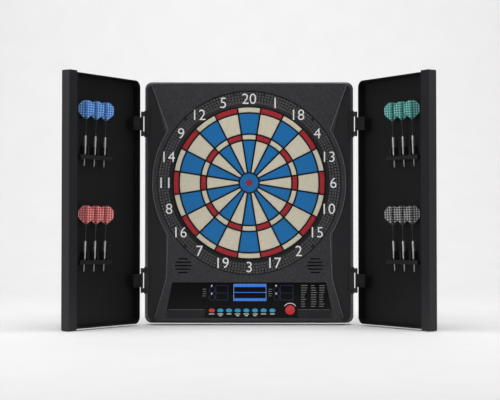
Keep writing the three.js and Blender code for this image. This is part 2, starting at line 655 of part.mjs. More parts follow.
function dart() {
  const barrelEnd = TIP_L + BARREL_L;
  const profile = [[0, 0], [TIP_R, 3], [TIP_R, TIP_L], [BARREL_R, TIP_L + 4], [BARREL_R, barrelEnd],
    [SHAFT_R, barrelEnd + 1], [SHAFT_R, DART_L - FLIGHT_L + 8], [0, DART_L - FLIGHT_L + 8]];
  const points = profile.map(([r, z]) => new THREE.Vector2(r, z));
  const body = new THREE.LatheGeometry(points, BARREL_FACETS);
  body.rotateX(Math.PI / 2);
  const base = DART_L - FLIGHT_L;
  const half = [[1, 0], [FLIGHT_R, 14], [FLIGHT_R, 30], [7, FLIGHT_L]];
  const vaneOutline = [...half, ...half.toReversed().map(([x, z]) => [-x, z])];
  const vanes = [1, 3].map((quarter) => {
    const g = new THREE.ExtrudeGeometry(outline(vaneOutline), { depth: FLIGHT_T, bevelEnabled: false });
    g.translate(0, base, -FLIGHT_T / 2);
    g.rotateX(Math.PI / 2);
    g.rotateZ((quarter * Math.PI) / 4);
    return toSolid(g);
  });
  return join(toSolid(body), ...vanes);
}

// ---- Assembly ----
addPiece(board, 'front_housing', frontHousing(), black);
addPiece(board, 'rear_cover', rearCover(), black);
addPiece(board, 'number_ring', numberRing(), black);
addPiece(board, 'spider', spider(), black);
const red = plastic('red_segment', 0xa8242c);
const blue = plastic('blue_segment', 0x2f86c8);
const cream = plastic('cream_segment', 0xddd8c4);
addPiece(board, 'double_segments', segmentRing(DOUBLE_R, flangeBetween(3)), red);
addPiece(board, 'outer_single_segments', segmentRing(OUTER_R, flangeBetween(2)), blue);
addPiece(board, 'treble_segments', segmentRing(TREBLE_R, flangeBetween(1)), red);
addPiece(board, 'inner_single_segments', segmentRing(INNER_R, flangeBetween(0)), cream);
addPiece(board, 'outer_bull', outerBull(), blue);
addPiece(board, 'inner_bull', innerBull(), red);
const mat = disc(MAT_R, MAT_FRONT, MAT_BACK, 0, BOARD_Z, RING_FACETS);
addPiece(board, 'rubber_mat', mat, plastic('rubber', 0x242424, 0.9));
const membrane = disc(MAT_R - 2, MEMBRANE_FRONT, MEMBRANE_BACK, 0, BOARD_Z, RING_FACETS);
addPiece(board, 'sensor_membrane', membrane, plastic('film', 0x9aa58c, 0.4));
addPiece(board, 'display_lens', displayLens(), plastic('lens', 0x050507, 0.1));
addPiece(board, 'display_module', displayModule(), plastic('display', 0x101820, 0.4));
addPiece(board, 'control_board', controlBoard(), plastic('circuit_board', 0x1d5a34, 0.5));
addPiece(board, 'speaker_left', speaker(-1), plastic('speaker', 0x101010, 0.8));
addPiece(board, 'speaker_right', speaker(1), plastic('speaker', 0x101010, 0.8));
addPiece(board, 'power_jack', powerJack(), black);
for (let i = 0; i < BUTTON_COUNT; i++) {
  const material = i === 0 ? plastic('red_button', 0xc83c30) : plastic('blue_button', 0x28a0cc);
  addPiece(board, `button_${i + 1}`, ovalButton(i), material);
}
addPiece(board, 'start_button', startButton(), plastic('red_button', 0xc83c30));

const FLIGHT_COLOURS = {
  left_upper: 0x2f7fd6,
  left_lower: 0xd2353c,
  right_upper: 0x1f9c7c,
  right_lower: 0x303030,
};

for (const [side, mirror] of [['left', false], ['right', true]]) {
  const sign = mirror ? -1 : 1;
  for (const [level, z] of [['upper', HINGE_Z], ['lower', -HINGE_Z]]) {
    addPiece(board, `${side}_${level}_hinge_bracket`, hingeBracket(z), black, mirror);
    addPiece(board, `${side}_${level}_hinge_pin`, hingePin(z), steel, mirror);
  }
  const door = new THREE.Group();
  door.position.set(-sign * HINGE_X, hingeY, 0);
  door.rotation.z = -sign * REST_OPEN;
  board.add(door);
  addPiece(door, `${side}_door_shell`, doorShell(), panelBlack, mirror);
  addPiece(door, `${side}_door_stile`, doorStile(), plastic('stile', 0x2a2a2d), mirror);
  const drop = (TIP_DROP + RACK_SHELF) * Math.tan(DART_LEAN);
  for (const [level, z, shelfZ] of [['upper', HINGE_Z, RACK_ZS[0]], ['lower', -HINGE_Z, RACK_ZS[1]]]) {
    addPiece(door, `${side}_${level}_hinge_leaf`, hingeLeaf(z), black, mirror);
    addPiece(door, `${side}_${level}_dart_rack`, dartRack(shelfZ), black, mirror);
    const flightPlastic = plastic(`${side}_${level}_flight`, FLIGHT_COLOURS[`${side}_${level}`]);
    for (const i of [-1, 0, 1]) {
      const holder = new THREE.Group();
      holder.position.set(sign * (RACK_U + i * DART_PITCH), PANEL_Y + DART_OFF - drop, shelfZ - TIP_DROP);
      holder.rotation.x = -DART_LEAN;
      door.add(holder);
      addPiece(holder, `${side}_${level}_dart_${i + 2}`, dart(), flightPlastic, mirror);
    }
  }
}

export default board;
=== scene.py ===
"""Looks of the electronic dart board cabinet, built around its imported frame.

Every place comes from the frame: +Z is up, the front faces -Y, and the cabinet hangs with its back at y = 0.
Blender works in metres; a maker's sizes are named in millimetres and multiplied by MM.
"""

import json
import math
import random

import bmesh
import bpy
from bpy.props import FloatProperty, FloatVectorProperty, IntProperty, PointerProperty
from mathutils import Matrix, Vector


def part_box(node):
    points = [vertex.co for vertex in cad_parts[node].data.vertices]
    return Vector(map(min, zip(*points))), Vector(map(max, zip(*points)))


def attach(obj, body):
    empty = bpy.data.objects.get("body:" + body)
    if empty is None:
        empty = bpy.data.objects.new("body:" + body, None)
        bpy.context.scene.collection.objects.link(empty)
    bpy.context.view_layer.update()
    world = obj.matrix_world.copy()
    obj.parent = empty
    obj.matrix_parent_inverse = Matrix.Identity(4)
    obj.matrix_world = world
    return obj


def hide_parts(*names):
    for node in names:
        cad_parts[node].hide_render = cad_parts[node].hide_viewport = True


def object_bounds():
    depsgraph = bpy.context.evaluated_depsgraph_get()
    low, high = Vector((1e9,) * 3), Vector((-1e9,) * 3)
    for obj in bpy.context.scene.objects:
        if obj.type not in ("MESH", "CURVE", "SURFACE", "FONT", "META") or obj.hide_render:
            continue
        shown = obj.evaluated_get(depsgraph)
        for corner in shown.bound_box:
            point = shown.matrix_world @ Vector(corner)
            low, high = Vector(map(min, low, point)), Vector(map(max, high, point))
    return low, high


bl_info = {
    "name": "Dart Board Cabinet",
    "version": (1, 0, 0),
    "blender": (4, 5, 0),
    "location": "View3D > Sidebar > Dart Board",
    "description": "Builds the visible pieces of an electronic dart board cabinet",
    "category": "Add Mesh",
}

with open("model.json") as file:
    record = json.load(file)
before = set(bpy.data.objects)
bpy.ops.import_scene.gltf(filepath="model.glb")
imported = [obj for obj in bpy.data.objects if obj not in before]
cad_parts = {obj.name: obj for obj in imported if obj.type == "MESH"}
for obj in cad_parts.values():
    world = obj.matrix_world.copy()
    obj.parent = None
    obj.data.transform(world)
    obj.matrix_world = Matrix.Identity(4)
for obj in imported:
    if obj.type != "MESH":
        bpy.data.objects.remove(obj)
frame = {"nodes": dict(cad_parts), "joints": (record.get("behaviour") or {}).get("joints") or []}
CAD_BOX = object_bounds()
NODES = frame["nodes"]
JOINTS = {joint["name"]: joint for joint in frame["joints"]}
MM = 0.001


def centre(node):
    low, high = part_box(node)
    return (low + high) / 2


BOARD = centre("number_ring")
LENS_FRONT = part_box("display_lens")[0].y / MM
PANEL_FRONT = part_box("front_housing")[0].y / MM
SIDES = {"left": -1, "right": 1}
RACKS = ("left_upper", "left_lower", "right_upper", "right_lower")

# ---- The target, in mm from its centre, clockwise from the top ----
NUMBERS = (20, 1, 18, 4, 13, 6, 10, 15, 2, 17, 3, 19, 7, 16, 8, 11, 14, 9, 12, 5)
SECTOR = 2 * math.pi / len(NUMBERS)
WEB = 3.0  # thickness of the spider's radial walls, between nominal outlines
GAP = 0.3  # how far the spider's cells and the flanges keep off those outlines
SEGMENT_EASE = 0.35  # how far each segment stays inside its outline
SEGMENT_RIM = 0.5  # width of the rounded rim
ROW_SEAM = 0.1  # flat strip between two rows of holes
HOLE_DEPTH = 1.4
RINGS = {
    "double_segments": (160.4, 171.5),
    "outer_single_segments": (112.2, 157.4),
    "treble_segments": (98.7, 109.2),
    "inner_single_segments": (24.2, 95.7),
}
BULL_EDGE = 21.2
BULL_HOLE = 7.3
RING_IN, RING_BEZEL, RING_OUT = 174.5, 208.7, 214.0
RING_BAND = (182.0, 206.6)
RING_ROWS = 4
RING_HOLE_SHARE = 0.36  # a hole's width as a part of its patch
RING_HOLE_DEPTH = 1.8
RING_HOLE_CHAMFER = 0.5
NUMBER_RADIUS = 191.0
CLIP_RADIUS = 204.0
CLIP_DEGREES = (80.1, 99.9, 45, 135, 225, 315, 260.1, 279.9)

# ---- Depths in mm, from the CAD nodes ----
RING_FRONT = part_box("number_ring")[0].y / MM
RING_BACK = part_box("number_ring")[1].y / MM
RING_DISH = 4.0
SPIDER_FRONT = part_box("spider")[0].y / MM
SPIDER_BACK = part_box("spider")[1].y / MM
SEGMENT_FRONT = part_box("double_segments")[0].y / MM
FLANGE_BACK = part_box("double_segments")[1].y / MM
FLANGE_FRONT = FLANGE_BACK - 2.6

# ---- Doors and darts, in mm in the door's own axes ----
DOOR_PANEL_Y = -22.0
RACK_CENTRE = 147.0
RACK_FACE_Y = DOOR_PANEL_Y + 2.3
LEAF_FACE_Y = -0.2
POINT_L = 25.3
BARREL_L = 41.5
SHAFT_L = 35.5
BARREL_R = 3.0
GROOVE_DEPTH = 0.3
FLIGHT_OUTLINE = ((0.25, 0.0), (2.6, 1.2), (13.2, 10.6), (15.9, 13.4), (17.0, 16.8), (17.0, 27.2),
                  (16.2, 30.6), (13.8, 34.2), (9.8, 38.0), (6.6, 40.2), (3.2, 41.0), (0.25, 41.0))
DOOR_BOSSES = {
    "left": ((120, 260), (114, 58), (204, 100), (32, 120), (60, -40), (196, -60), (118, -200)),
    "right": ((119, 262), (118, 63), (60, -40), (196, -60), (118, -200)),
}

# ---- The front face and the control panel, in mm across and up from the cabinet's middle ----
BEAD_RADIUS = 0.85
BEAD_TOP = (-222.0, 267.5)
BEAD_BOW = 219.0  # radius of the bow round the number ring
BEAD_FOOT = ((-187.8, -173.5), (-212.6, -262.0))
DISPLAY_FRAME = (-35.2, 38.6, -223.3, -185.3)
DISPLAY_ENDS = (-33.9, 37.3)
DISPLAY_BARS = ((-191.9, -186.6), (-222.0, -217.4), (-205.0, -203.5))
LAMP_FIRST, LAMP_PITCH, LAMP_HALF = -29.5, 8.9, 2.0
SCORES = ((-75.6, -47.6), (70.0, 99.3))  # the two small displays
SCORE_LEVELS = (-222.0, -188.0)
NOTE_COLUMNS = (117.3, 139.6, 158.4)
FOOT_INNER = {-1: 99.8, 1: 109.8}
FOOT_TOP, FOOT_BOTTOM = -243.4, -258.4
FOOT_END = ((182.4, FOOT_TOP), (184.6, -254.5), (183.8, -257.0), (181.2, FOOT_BOTTOM))
BUTTON_ROUND = 7.0
BUTTON_STRETCH = 8.7 / 14  # an oval button's height over its width
START_ROUND = 10.9

# ---- The stage: floor and backdrop in mm, camera in metres and degrees ----
SWEEP_HALF, SWEEP_FRONT, SWEEP_BACK, SWEEP_BEND, SWEEP_TOP = 2100, -1650, 1500, 1500, 5000
AIM = Vector((0, -0.05, 0))
LIGHTS = (  # name, place, what it faces, size, watts
    ("left_light", (-2.3, -1.5, 0.8), AIM, (1.4, 2.0), 23),
    ("right_light", (2.3, -1.5, 0.8), AIM, (1.4, 2.0), 15),
    ("top_light", (0.0, -1.7, 2.4), AIM, (2.4, 1.2), 32),
    ("backdrop_light", (0.0, 0.3, 3.2), Vector((0, 2.6, 0)), (5.0, 2.0), 95),
)
CAMERA_AT = (0.0019, -3.111, -0.071)
CAMERA_TILT = 91.416
CAMERA_LENS = 97.5


# ---- Colours and nodes ----
def linear(code):
    """A linear RGBA colour from an sRGB hex code."""
    values = [int(code[i : i + 2], 16) / 255 for i in (1, 3, 5)]
    return [v / 12.92 if v <= 0.04045 else ((v + 0.055) / 1.055) ** 2.4 for v in values] + [1.0]


def shades(colour, spread):
    """A darker and a lighter shade of a linear colour."""
    return [[c * factor for c in colour[:3]] + [1.0] for factor in (1 - spread, 1 + spread)]


def colour_setting(name, description, code):
    """A colour that a user may change, with an sRGB hex code as its default."""
    return FloatVectorProperty(name=name, description=description, default=linear(code)[:3],
                               subtype="COLOR", size=3, min=0.0, max=1.0)


def length_setting(name, description, default, least, most):
    """A length in metres that a user may change."""
    return FloatProperty(name=name, description=description, default=default, min=least, max=most,
                         subtype="DISTANCE", unit="LENGTH")


class CaseFinish(bpy.types.PropertyGroup):
    """Colours and sizes of the case, its number ring and its doors."""

    housing: colour_setting("Housing", "Plastic of the front housing", "#2D2D30")
    # Darker than the housing: painted shade on the sloping sides.
    sides: colour_setting("Sides", "Plastic of the housing's sloping sides", "#1E1E21")
    door: colour_setting("Doors", "Plastic of the door trays", "#101012")
    stile: colour_setting("Stiles", "Plastic of the bars at the doors' free edges", "#222225")
    ring: colour_setting("Number ring", "Plastic of the number ring", "#101012")
    numbers: colour_setting("Numbers", "Ink of the numbers and labels", "#ECECEC")
    number_height: length_setting("Number height", "Height of the numbers on the ring", 0.0235, 0.01, 0.026)
    ring_holes: IntProperty(name="Ring holes", description="Holes round the perforated band, in each row",
                            default=180, min=60, max=400)
    edge: length_setting("Edge rounding", "Radius of the moulded edges", 0.0006, 0.0001, 0.001)


class TargetFinish(bpy.types.PropertyGroup):
    """Colours and sizes of the target's segments."""

    blue: colour_setting("Blue", "Plastic of the blue segments", "#0573B8")
    cream: colour_setting("Cream", "Plastic of the cream segments", "#DDD6C0")
    red: colour_setting("Red", "Plastic of the red segments", "#AE1D2A")
    spider: colour_setting("Spider", "Plastic of the walls between the segments", "#08090A")
    hole_pitch: length_setting("Hole pitch", "Distance between the holes for soft points",
                               0.0042, 0.003, 0.01)
    hole_width: length_setting("Hole width", "Width of each hole", 0.0015, 0.0005, 0.002)


class ControlFinish(bpy.types.PropertyGroup):
    """Colours of the control panel."""

    mode_button: colour_setting("Mode buttons", "Plastic of the oval buttons", "#1FA0D2")
    power_button: colour_setting("Power button", "Plastic of the red oval button", "#D3392C")
    start_button: colour_setting("Start button", "Plastic of the round button", "#D41F2B")
    lit: colour_setting("Lit bars", "Light of the display's bars", "#1F74DC")
    glow: FloatProperty(name="Glow", description="Brightness of the display's bars",
                        default=0.34, min=0.0, max=5.0)


class DartFinish(bpy.types.PropertyGroup):
    """Colours and sizes of the darts."""

    left_upper: colour_setting("Left upper", "Film of the flights in this rack", "#0070C8")
    left_lower: colour_setting("Left lower", "Film of the flights in this rack", "#B80A18")
    right_upper: colour_setting("Right upper", "Film of the flights in this rack", "#007A72")
    right_lower: colour_setting("Right lower", "Film of the flights in this rack", "#101012")
    groove_pitch: length_setting("Groove pitch", "Distance between the barrel's grooves",
                                 0.0019, 0.001, 0.005)
    vane: length_setting("Vane thickness", "Thickness of a flight's film", 0.0005, 0.0002, 0.0008)


GROUPS = {"case_finish": CaseFinish, "target_finish": TargetFinish, "control_finish": ControlFinish,
          "dart_finish": DartFinish}


def settings(group):
    return getattr(bpy.context.scene, group)


def add_node(tree, kind, values=None, links=None):
    """Adds a node, sets its sockets or properties, and links its inputs."""
    node = tree.nodes.new(kind)
    for key, value in (values or {}).items():
        if isinstance(key, int) or key in node.inputs:
            node.inputs[key].default_value = value
        else:
            setattr(node, key, value)
    for socket, source in (links or {}).items():
        tree.links.new(source, node.inputs[socket])
    return node


def new_material(name, colour, roughness, metallic=0.0, ior=1.5, **sockets):
    """A material with its shader's own sockets set. Metals keep the default IOR."""
    material = bpy.data.materials.new(name)
    material.use_nodes = True
    tree = material.node_tree
    shader = tree.nodes["Principled BSDF"]
    shader.inputs["Base Color"].default_value = [*colour[:3], 1.0]
    shader.inputs["Roughness"].default_value = roughness
    shader.inputs["Metallic"].default_value = metallic
    if not metallic:
        shader.inputs["IOR"].default_value = ior
    for key, value in sockets.items():
        shader.inputs[key.replace("_", " ")].default_value = value
    place = add_node(tree, "ShaderNodeTexCoord").outputs["Object"]
    return material, tree, shader, place


def mottle(tree, shader, colour, spread, size_mm, place):
    """Slow drift of the colour between two shades, as in a moulding."""
    noise = add_node(tree, "ShaderNodeTexNoise", {"Scale": 1 / (size_mm * MM), "Detail": 3.0},
                     {"Vector": place})
    ramp = add_node(tree, "ShaderNodeValToRGB", links={"Fac": noise.outputs["Fac"]})
    for element, position, shade in zip(ramp.color_ramp.elements, (0.32, 0.68), shades(colour, spread)):
        element.position = position
        element.color = shade
    tree.links.new(ramp.outputs["Color"], shader.inputs["Base Color"])
    return ramp.outputs["Color"]


def vary_roughness(tree, shader, low, high, size_mm, place):
    """Handling and flow marks: the gloss changes over some distance."""
    noise = add_node(tree, "ShaderNodeTexNoise", {"Scale": 1 / (size_mm * MM), "Detail": 4.0},
                     {"Vector": place})
    spread = add_node(tree, "ShaderNodeMapRange", {"To Min": low, "To Max": high},
                      {"Value": noise.outputs["Fac"]})
    tree.links.new(spread.outputs["Result"], shader.inputs["Roughness"])


def moulded(name, colour, spread, roughness, grain_mm, depth_mm, ior=1.53, specular=0.5):
    """A moulded plastic: slow changes of shade and gloss, and the mould's etched pebble as small bumps.
    A deep etch scatters the highlight, which a lower specular level gives."""
    material, tree, shader, place = new_material(name, colour, sum(roughness) / 2, ior=ior,
                                                 Specular_IOR_Level=specular)
    mottle(tree, shader, colour, spread, grain_mm * 2.5, place)
    vary_roughness(tree, shader, *roughness, 35.0, place)
    cells = add_node(tree, "ShaderNodeTexVoronoi", {"Scale": 1 / (grain_mm * MM), "feature": "SMOOTH_F1"},
                     {"Vector": place})
    bump = add_node(tree, "ShaderNodeBump", {"Distance": depth_mm * MM, "Strength": 0.6},
                    {"Height": cells.outputs["Distance"]})
    tree.links.new(bump.outputs["Normal"], shader.inputs["Normal"])
    return material


# ---- Materials ----
def housing_abs():
    """High-impact ABS from an etched mould: charcoal, matt, with a leather-like pebble. The real pebble is
    about 0.8 mm, drawn 2.4 mm wide so that it shows."""
    return moulded("charcoal_abs_etched", settings("case_finish").housing, 0.28, (0.42, 0.58), 2.4, 0.5,
                   specular=0.4)


def housing_side_abs():
    """The housing's sloping sides: the same ABS from a finer etch, drawn darker as painted shade where the
    sides slope away. Its 0.7 mm grain is drawn 1.6 mm wide."""
    return moulded("charcoal_abs_fine_etched", settings("case_finish").sides, 0.2, (0.46, 0.58), 1.6, 0.2,
                   specular=0.3)


def worn_edge_abs(name, code):
    """A raised edge in ABS, paler and smoother than the faces round it: the pale colour is a painted
    highlight along the edge.
    """
    return moulded(name, linear(code), 0.2, (0.26, 0.38), 2.0, 0.04)


def door_abs():
    """The doors' ABS from a finer etched mould: deeper black. Its 0.7 mm grain is drawn 1.6 mm wide."""
    return moulded("black_abs_etched", settings("case_finish").door, 0.16, (0.44, 0.56), 1.6, 0.15,
                   specular=0.25)


def cover_abs():
    """Rear cover: black ABS from a spark-eroded mould, evenly matt."""
    return moulded("black_abs_spark_eroded", linear("#141415"), 0.2, (0.55, 0.68), 1.2, 0.12)


def stile_abs():
    """Door stile: dark grey ABS from a polished mould, which gives a satin sheen."""
    return moulded("grey_abs_satin", settings("case_finish").stile, 0.1, (0.34, 0.44), 1.2, 0.05,
                   specular=0.3)


def fitting_nylon():
    """Hinges and racks: glass-filled nylon, moulded, black with faint flow marks."""
    return moulded("black_nylon_moulded", linear("#171718"), 0.2, (0.36, 0.5), 1.0, 0.08, specular=0.4)


def ring_abs():
    """Number ring: black ABS, satin from the mould. The chamfers round its holes take a pale finish of their
    own, a painted highlight.
    """
    return moulded("black_abs_satin", settings("case_finish").ring, 0.12, (0.24, 0.34), 1.2, 0.04,
                   specular=0.65)


def spider_abs():
    """Spider: black ABS from a polished mould, smooth with a soft highlight."""
    return moulded("black_abs_polished", settings("target_finish").spider, 0.15, (0.38, 0.5), 1.0, 0.03,
                   specular=0.3)


def segment_plastic(colour_name):
    """Target segment: polypropylene, moulded in colour, satin with a slow drift of shade."""
    colour = getattr(settings("target_finish"), colour_name)
    return moulded(f"{colour_name}_polypropylene_moulded", colour, 0.04, (0.42, 0.54), 3.0, 0.05, ior=1.49)


def lens_acrylic():
    """Control panel window: black cast acrylic with an anti-glare face, so deep black with faint wipe
    marks."""
    material, tree, shader, place = new_material("black_acrylic_polished", linear("#050506"), 0.16, ior=1.49,
                                                 Specular_IOR_Level=0.16)
    mottle(tree, shader, linear("#050506"), 0.3, 40.0, place)
    vary_roughness(tree, shader, 0.1, 0.22, 50.0, place)
    return material


def button_plastic(colour_name):
    """Button cap: translucent ABS, moulded satin, with a soft gloss on its dome."""
    colour = getattr(settings("control_finish"), colour_name)
    material, tree, shader, place = new_material(f"{colour_name}_abs_satin", colour, 0.32, ior=1.53,
                                                 Coat_Weight=0.25, Coat_Roughness=0.2)
    mottle(tree, shader, colour, 0.12, 5.0, place)
    vary_roughness(tree, shader, 0.28, 0.4, 6.0, place)
    return material


def printed_ink(name, colour):
    """Screen-printed ink: flat and slightly chalky."""
    material, tree, shader, place = new_material(name, colour, 0.6)
    mottle(tree, shader, colour, 0.05, 3.0, place)
    vary_roughness(tree, shader, 0.52, 0.66, 4.0, place)
    return material


def lit_diffuser(name, colour, strength):
    """Lit display bar: light through a diffusing film, brighter before each lamp. The lamps stand 9 mm
    apart."""
    material, tree, shader, place = new_material(name, colour, 0.4, Emission_Color=[*colour[:3], 1.0])
    split = add_node(tree, "ShaderNodeSeparateXYZ", links={0: place})
    phase = add_node(tree, "ShaderNodeMath", {"operation": "MULTIPLY", 1: 2 * math.pi / (9.0 * MM)},
                     {0: split.outputs["X"]})
    wave = add_node(tree, "ShaderNodeMath", {"operation": "COSINE"}, {0: phase.outputs[0]})
    glow = add_node(tree, "ShaderNodeMapRange", {"From Min": -1.0, "To Min": strength * 0.7,
                                                 "To Max": strength * 1.3}, {"Value": wave.outputs[0]})
    tree.links.new(glow.outputs["Result"], shader.inputs["Emission Strength"])
    return material


def plated(name, code, roughness, size_mm):
    """A plated metal whose plating is slightly cloudy."""
    material, tree, shader, place = new_material(name, linear(code), sum(roughness) / 2, metallic=1.0)
    mottle(tree, shader, linear(code), 0.08, size_mm, place)
    vary_roughness(tree, shader, *roughness, size_mm, place)
    return material


def point_nylon():
    """Soft point: natural nylon, moulded, milky grey-white."""
    material, tree, shader, place = new_material("natural_nylon_moulded", linear("#C4C4C0"), 0.42, ior=1.53,
                                                 Subsurface_Weight=0.2, Subsurface_Scale=0.002)
    mottle(tree, shader, linear("#C4C4C0"), 0.1, 6.0, place)
    return material


def gridded(name, colour, line, pitch_mm, line_mm, roughness, ior=1.57):
    """A film or board printed with a square grid of thin lines."""
    material, tree, shader, place = new_material(name, colour, roughness, ior=ior)
    split = add_node(tree, "ShaderNodeSeparateXYZ", links={0: place})
    across = add_node(tree, "ShaderNodeMath", {"operation": "ADD"},
                      {0: split.outputs["X"], 1: split.outputs["Y"]})
    lines = []
    ground_share = 1 - line_mm / pitch_mm
    for source in (across.outputs[0], split.outputs["Z"]):
        cells = add_node(tree, "ShaderNodeMath", {"operation": "DIVIDE", 1: pitch_mm * MM}, {0: source})
        part = add_node(tree, "ShaderNodeMath", {"operation": "FRACT"}, {0: cells.outputs[0]})
        lines.append(add_node(tree, "ShaderNodeMath", {"operation": "GREATER_THAN", 1: ground_share},
                              {0: part.outputs[0]}))
    either = add_node(tree, "ShaderNodeMath", {"operation": "MAXIMUM"},
                      {0: lines[0].outputs[0], 1: lines[1].outputs[0]})
    ground = mottle(tree, shader, colour, 0.12, 7.0, place)
    # A colour mix has its two colours at inputs 6 and 7, and gives the result at output 2.
    mix = add_node(tree, "ShaderNodeMix", {"data_type": "RGBA", 7: line},
                   {"Factor": either.outputs[0], 6: ground})
    tree.links.new(mix.outputs[2], shader.inputs["Base Color"])
    vary_roughness(tree, shader, roughness - 0.05, roughness + 0.08, 12.0, place)
    return material


def flight_film(rack, line):
    """Flight: polyester film printed with a pale grid. Its 0.4 mm lines, 3.5 mm apart, are drawn 0.9 mm wide
    and 5.2 mm apart so that they show."""
    ground = getattr(settings("dart_finish"), rack)
    return gridded(f"{rack}_printed_polyester", ground, linear(line), 5.2, 0.9, 0.32)


FINISHES = {
    "housing": housing_abs,
    "housing_painted_shade": housing_side_abs,
    # Pale finishes that paint a highlight along raised edges and round the ring's holes.
    "painted_highlight_edge": lambda: worn_edge_abs("charcoal_abs_burnished", "#626267"),
    "hole_chamfer_painted_highlight": lambda: worn_edge_abs("black_abs_burnished", "#757579"),
    "door": door_abs,
    "cover": cover_abs,
    "stile": stile_abs,
    "fitting": fitting_nylon,
    "ring": ring_abs,
    "spider": spider_abs,
    "blue": lambda: segment_plastic("blue"),
    "cream": lambda: segment_plastic("cream"),
    "red": lambda: segment_plastic("red"),
    "lens": lens_acrylic,
    "mode_button": lambda: button_plastic("mode_button"),
    "power_button": lambda: button_plastic("power_button"),
    "start_button": lambda: button_plastic("start_button"),
    "white_ink": lambda: printed_ink("white_screen_ink", settings("case_finish").numbers),
    "grey_ink": lambda: printed_ink("grey_screen_ink", linear("#77777A")),
    "dim_blue": lambda: printed_ink("unlit_display_film", linear("#17285E")),
    "lit_blue": lambda: lit_diffuser("blue_lit_diffuser", settings("control_finish").lit,
                                     settings("control_finish").glow),
    "lit_pale": lambda: lit_diffuser("pale_lit_diffuser", linear("#7FA6F0"),
                                     0.9 * settings("control_finish").glow),
    # Nickel on turned brass: a warm grey mirror, a little dulled by handling.
    "nickel": lambda: plated("nickel_plated_brass_turned", "#CFCECB", (0.34, 0.48), 3.0),
    # Zinc on steel wire: bright and slightly cloudy.
    "zinc": lambda: plated("zinc_plated_steel_drawn", "#8E8F92", (0.26, 0.42), 2.0),
    # Black oxide on steel screws: dull and a little oily.
    "black_screw": lambda: plated("black_oxide_steel_rolled", "#353537", (0.35, 0.5), 1.5),
    "point": point_nylon,
    # Dart shaft: polycarbonate from a polished mould, black and satin.
    "shaft": lambda: moulded("black_polycarbonate_moulded", linear("#161618"), 0.15, (0.28, 0.4), 1.0, 0.03,
                             1.58),
    # Backing mat: natural rubber sheet, dull black with a dusty bloom.
    "rubber": lambda: moulded("natural_rubber_sheet", linear("#1D1D1C"), 0.3, (0.78, 0.9), 2.0, 0.1, 1.52),
    # Sensor: clear polyester printed with silver tracks 4 mm apart.
    "film": lambda: gridded("printed_polyester_sensor", linear("#8A8C80"), linear("#C8C8C4"), 4.0, 0.9, 0.35),
    # Display carrier: black glass-filled nylon with a fine flow pattern.
    "display": lambda: moulded("black_nylon_glass_filled", linear("#0E1014"), 0.2, (0.35, 0.5), 1.2, 0.05),
    # Circuit board: green epoxy solder mask, screen-printed over tracks 5 mm apart.
    "board": lambda: gridded("green_epoxy_solder_mask", linear("#125030"), linear("#1F7A46"), 5.0, 0.9, 0.35,
                             1.55),
    # Speaker cone: pressed paper pulp, black and fibrous, so it takes no highlight.
    "cone": lambda: moulded("black_paper_pulp_pressed", linear("#101010"), 0.35, (0.8, 0.95), 0.9, 0.15,
                            1.5),
    # Seamless backdrop paper: off-white, matt, with a barely visible tooth.
    "paper": lambda: moulded("white_paper_calendered", linear("#F4F4F4"), 0.01, (0.88, 0.95), 40.0, 0.01,
                             1.45),
    "left_upper_flight": lambda: flight_film("left_upper", "#B4DCFF"),
    "left_lower_flight": lambda: flight_film("left_lower", "#F8C8C8"),
    "right_upper_flight": lambda: flight_film("right_upper", "#B0EAE4"),
    "right_lower_flight": lambda: flight_film("right_lower", "#D2D2D4"),
}
made_finishes = {}


def finish_of(key):
    """The material of that name, made once."""
    if key not in made_finishes:
        made_finishes[key] = FINISHES[key]()
    return made_finishes[key]


# ---- Making meshes ----
def add_object(name, mesh, place=None, angle=35):
    """An object in the scene, smooth except across sharp edges."""
    mesh.polygons.foreach_set("use_smooth", [True] * len(mesh.polygons))
    mesh.set_sharp_from_angle(angle=math.radians(angle))
    piece = bpy.data.objects.new(name, mesh)
    bpy.context.scene.collection.objects.link(piece)
    if place is not None:
        piece.matrix_world = place
    return piece


def settle(piece, body, slot, *replaced):
    """The piece rides on a body and may stand for CAD nodes. The slot is not used."""
    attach(piece, body)
    if replaced:
        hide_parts(*replaced)


class Build:
    """Gathers vertices in mm, faces and a material index for each face."""

    def __init__(self, *finishes):
        self.finishes = finishes
        self.vertices = []
        self.faces = []
        self.tags = []

    def add(self, vertices, faces, tag=0, place=None):
        start = len(self.vertices)
        if place is not None:
            vertices = [place @ Vector(v) for v in vertices]
        self.vertices.extend(Vector(v) for v in vertices)
        self.faces.extend([[start + i for i in face] for face in faces])
        self.tags.extend(tag if isinstance(tag, list) else [tag] * len(faces))

    def piece(self, name, place=None, angle=35):
        """The object, in metres. place is its own matrix."""
        mesh = bpy.data.meshes.new(name)
        mesh.from_pydata([tuple(v * MM) for v in self.vertices], [], self.faces)
        for key in self.finishes:
            mesh.materials.append(finish_of(key))
        mesh.polygons.foreach_set("material_index", self.tags)
        bm = bmesh.new()
        bm.from_mesh(mesh)
        bmesh.ops.remove_doubles(bm, verts=bm.verts, dist=1e-6)
        bmesh.ops.recalc_face_normals(bm, faces=bm.faces)
        bm.to_mesh(mesh)
        bm.free()
        return add_object(name, mesh, place, angle)


def band(rows, closed=False):
    """Faces between rows of points; a row of one point is a tip. Returns vertices and faces."""
    vertices = [v for row in rows for v in row]
    starts = [sum(len(row) for row in rows[:i]) for i in range(len(rows))]
    count = max(len(row) for row in rows)
    pairs = [(i, i + 1) for i in range(len(rows) - 1)] + ([(len(rows) - 1, 0)] if closed else [])
    faces = []
    for a, b in pairs:
        for i in range(count):
            j = (i + 1) % count
            near = [starts[a]] if len(rows[a]) == 1 else [starts[a] + i, starts[a] + j]
            far = [starts[b]] if len(rows[b]) == 1 else [starts[b] + j, starts[b] + i]
            faces.append(near + far)
    return vertices, faces


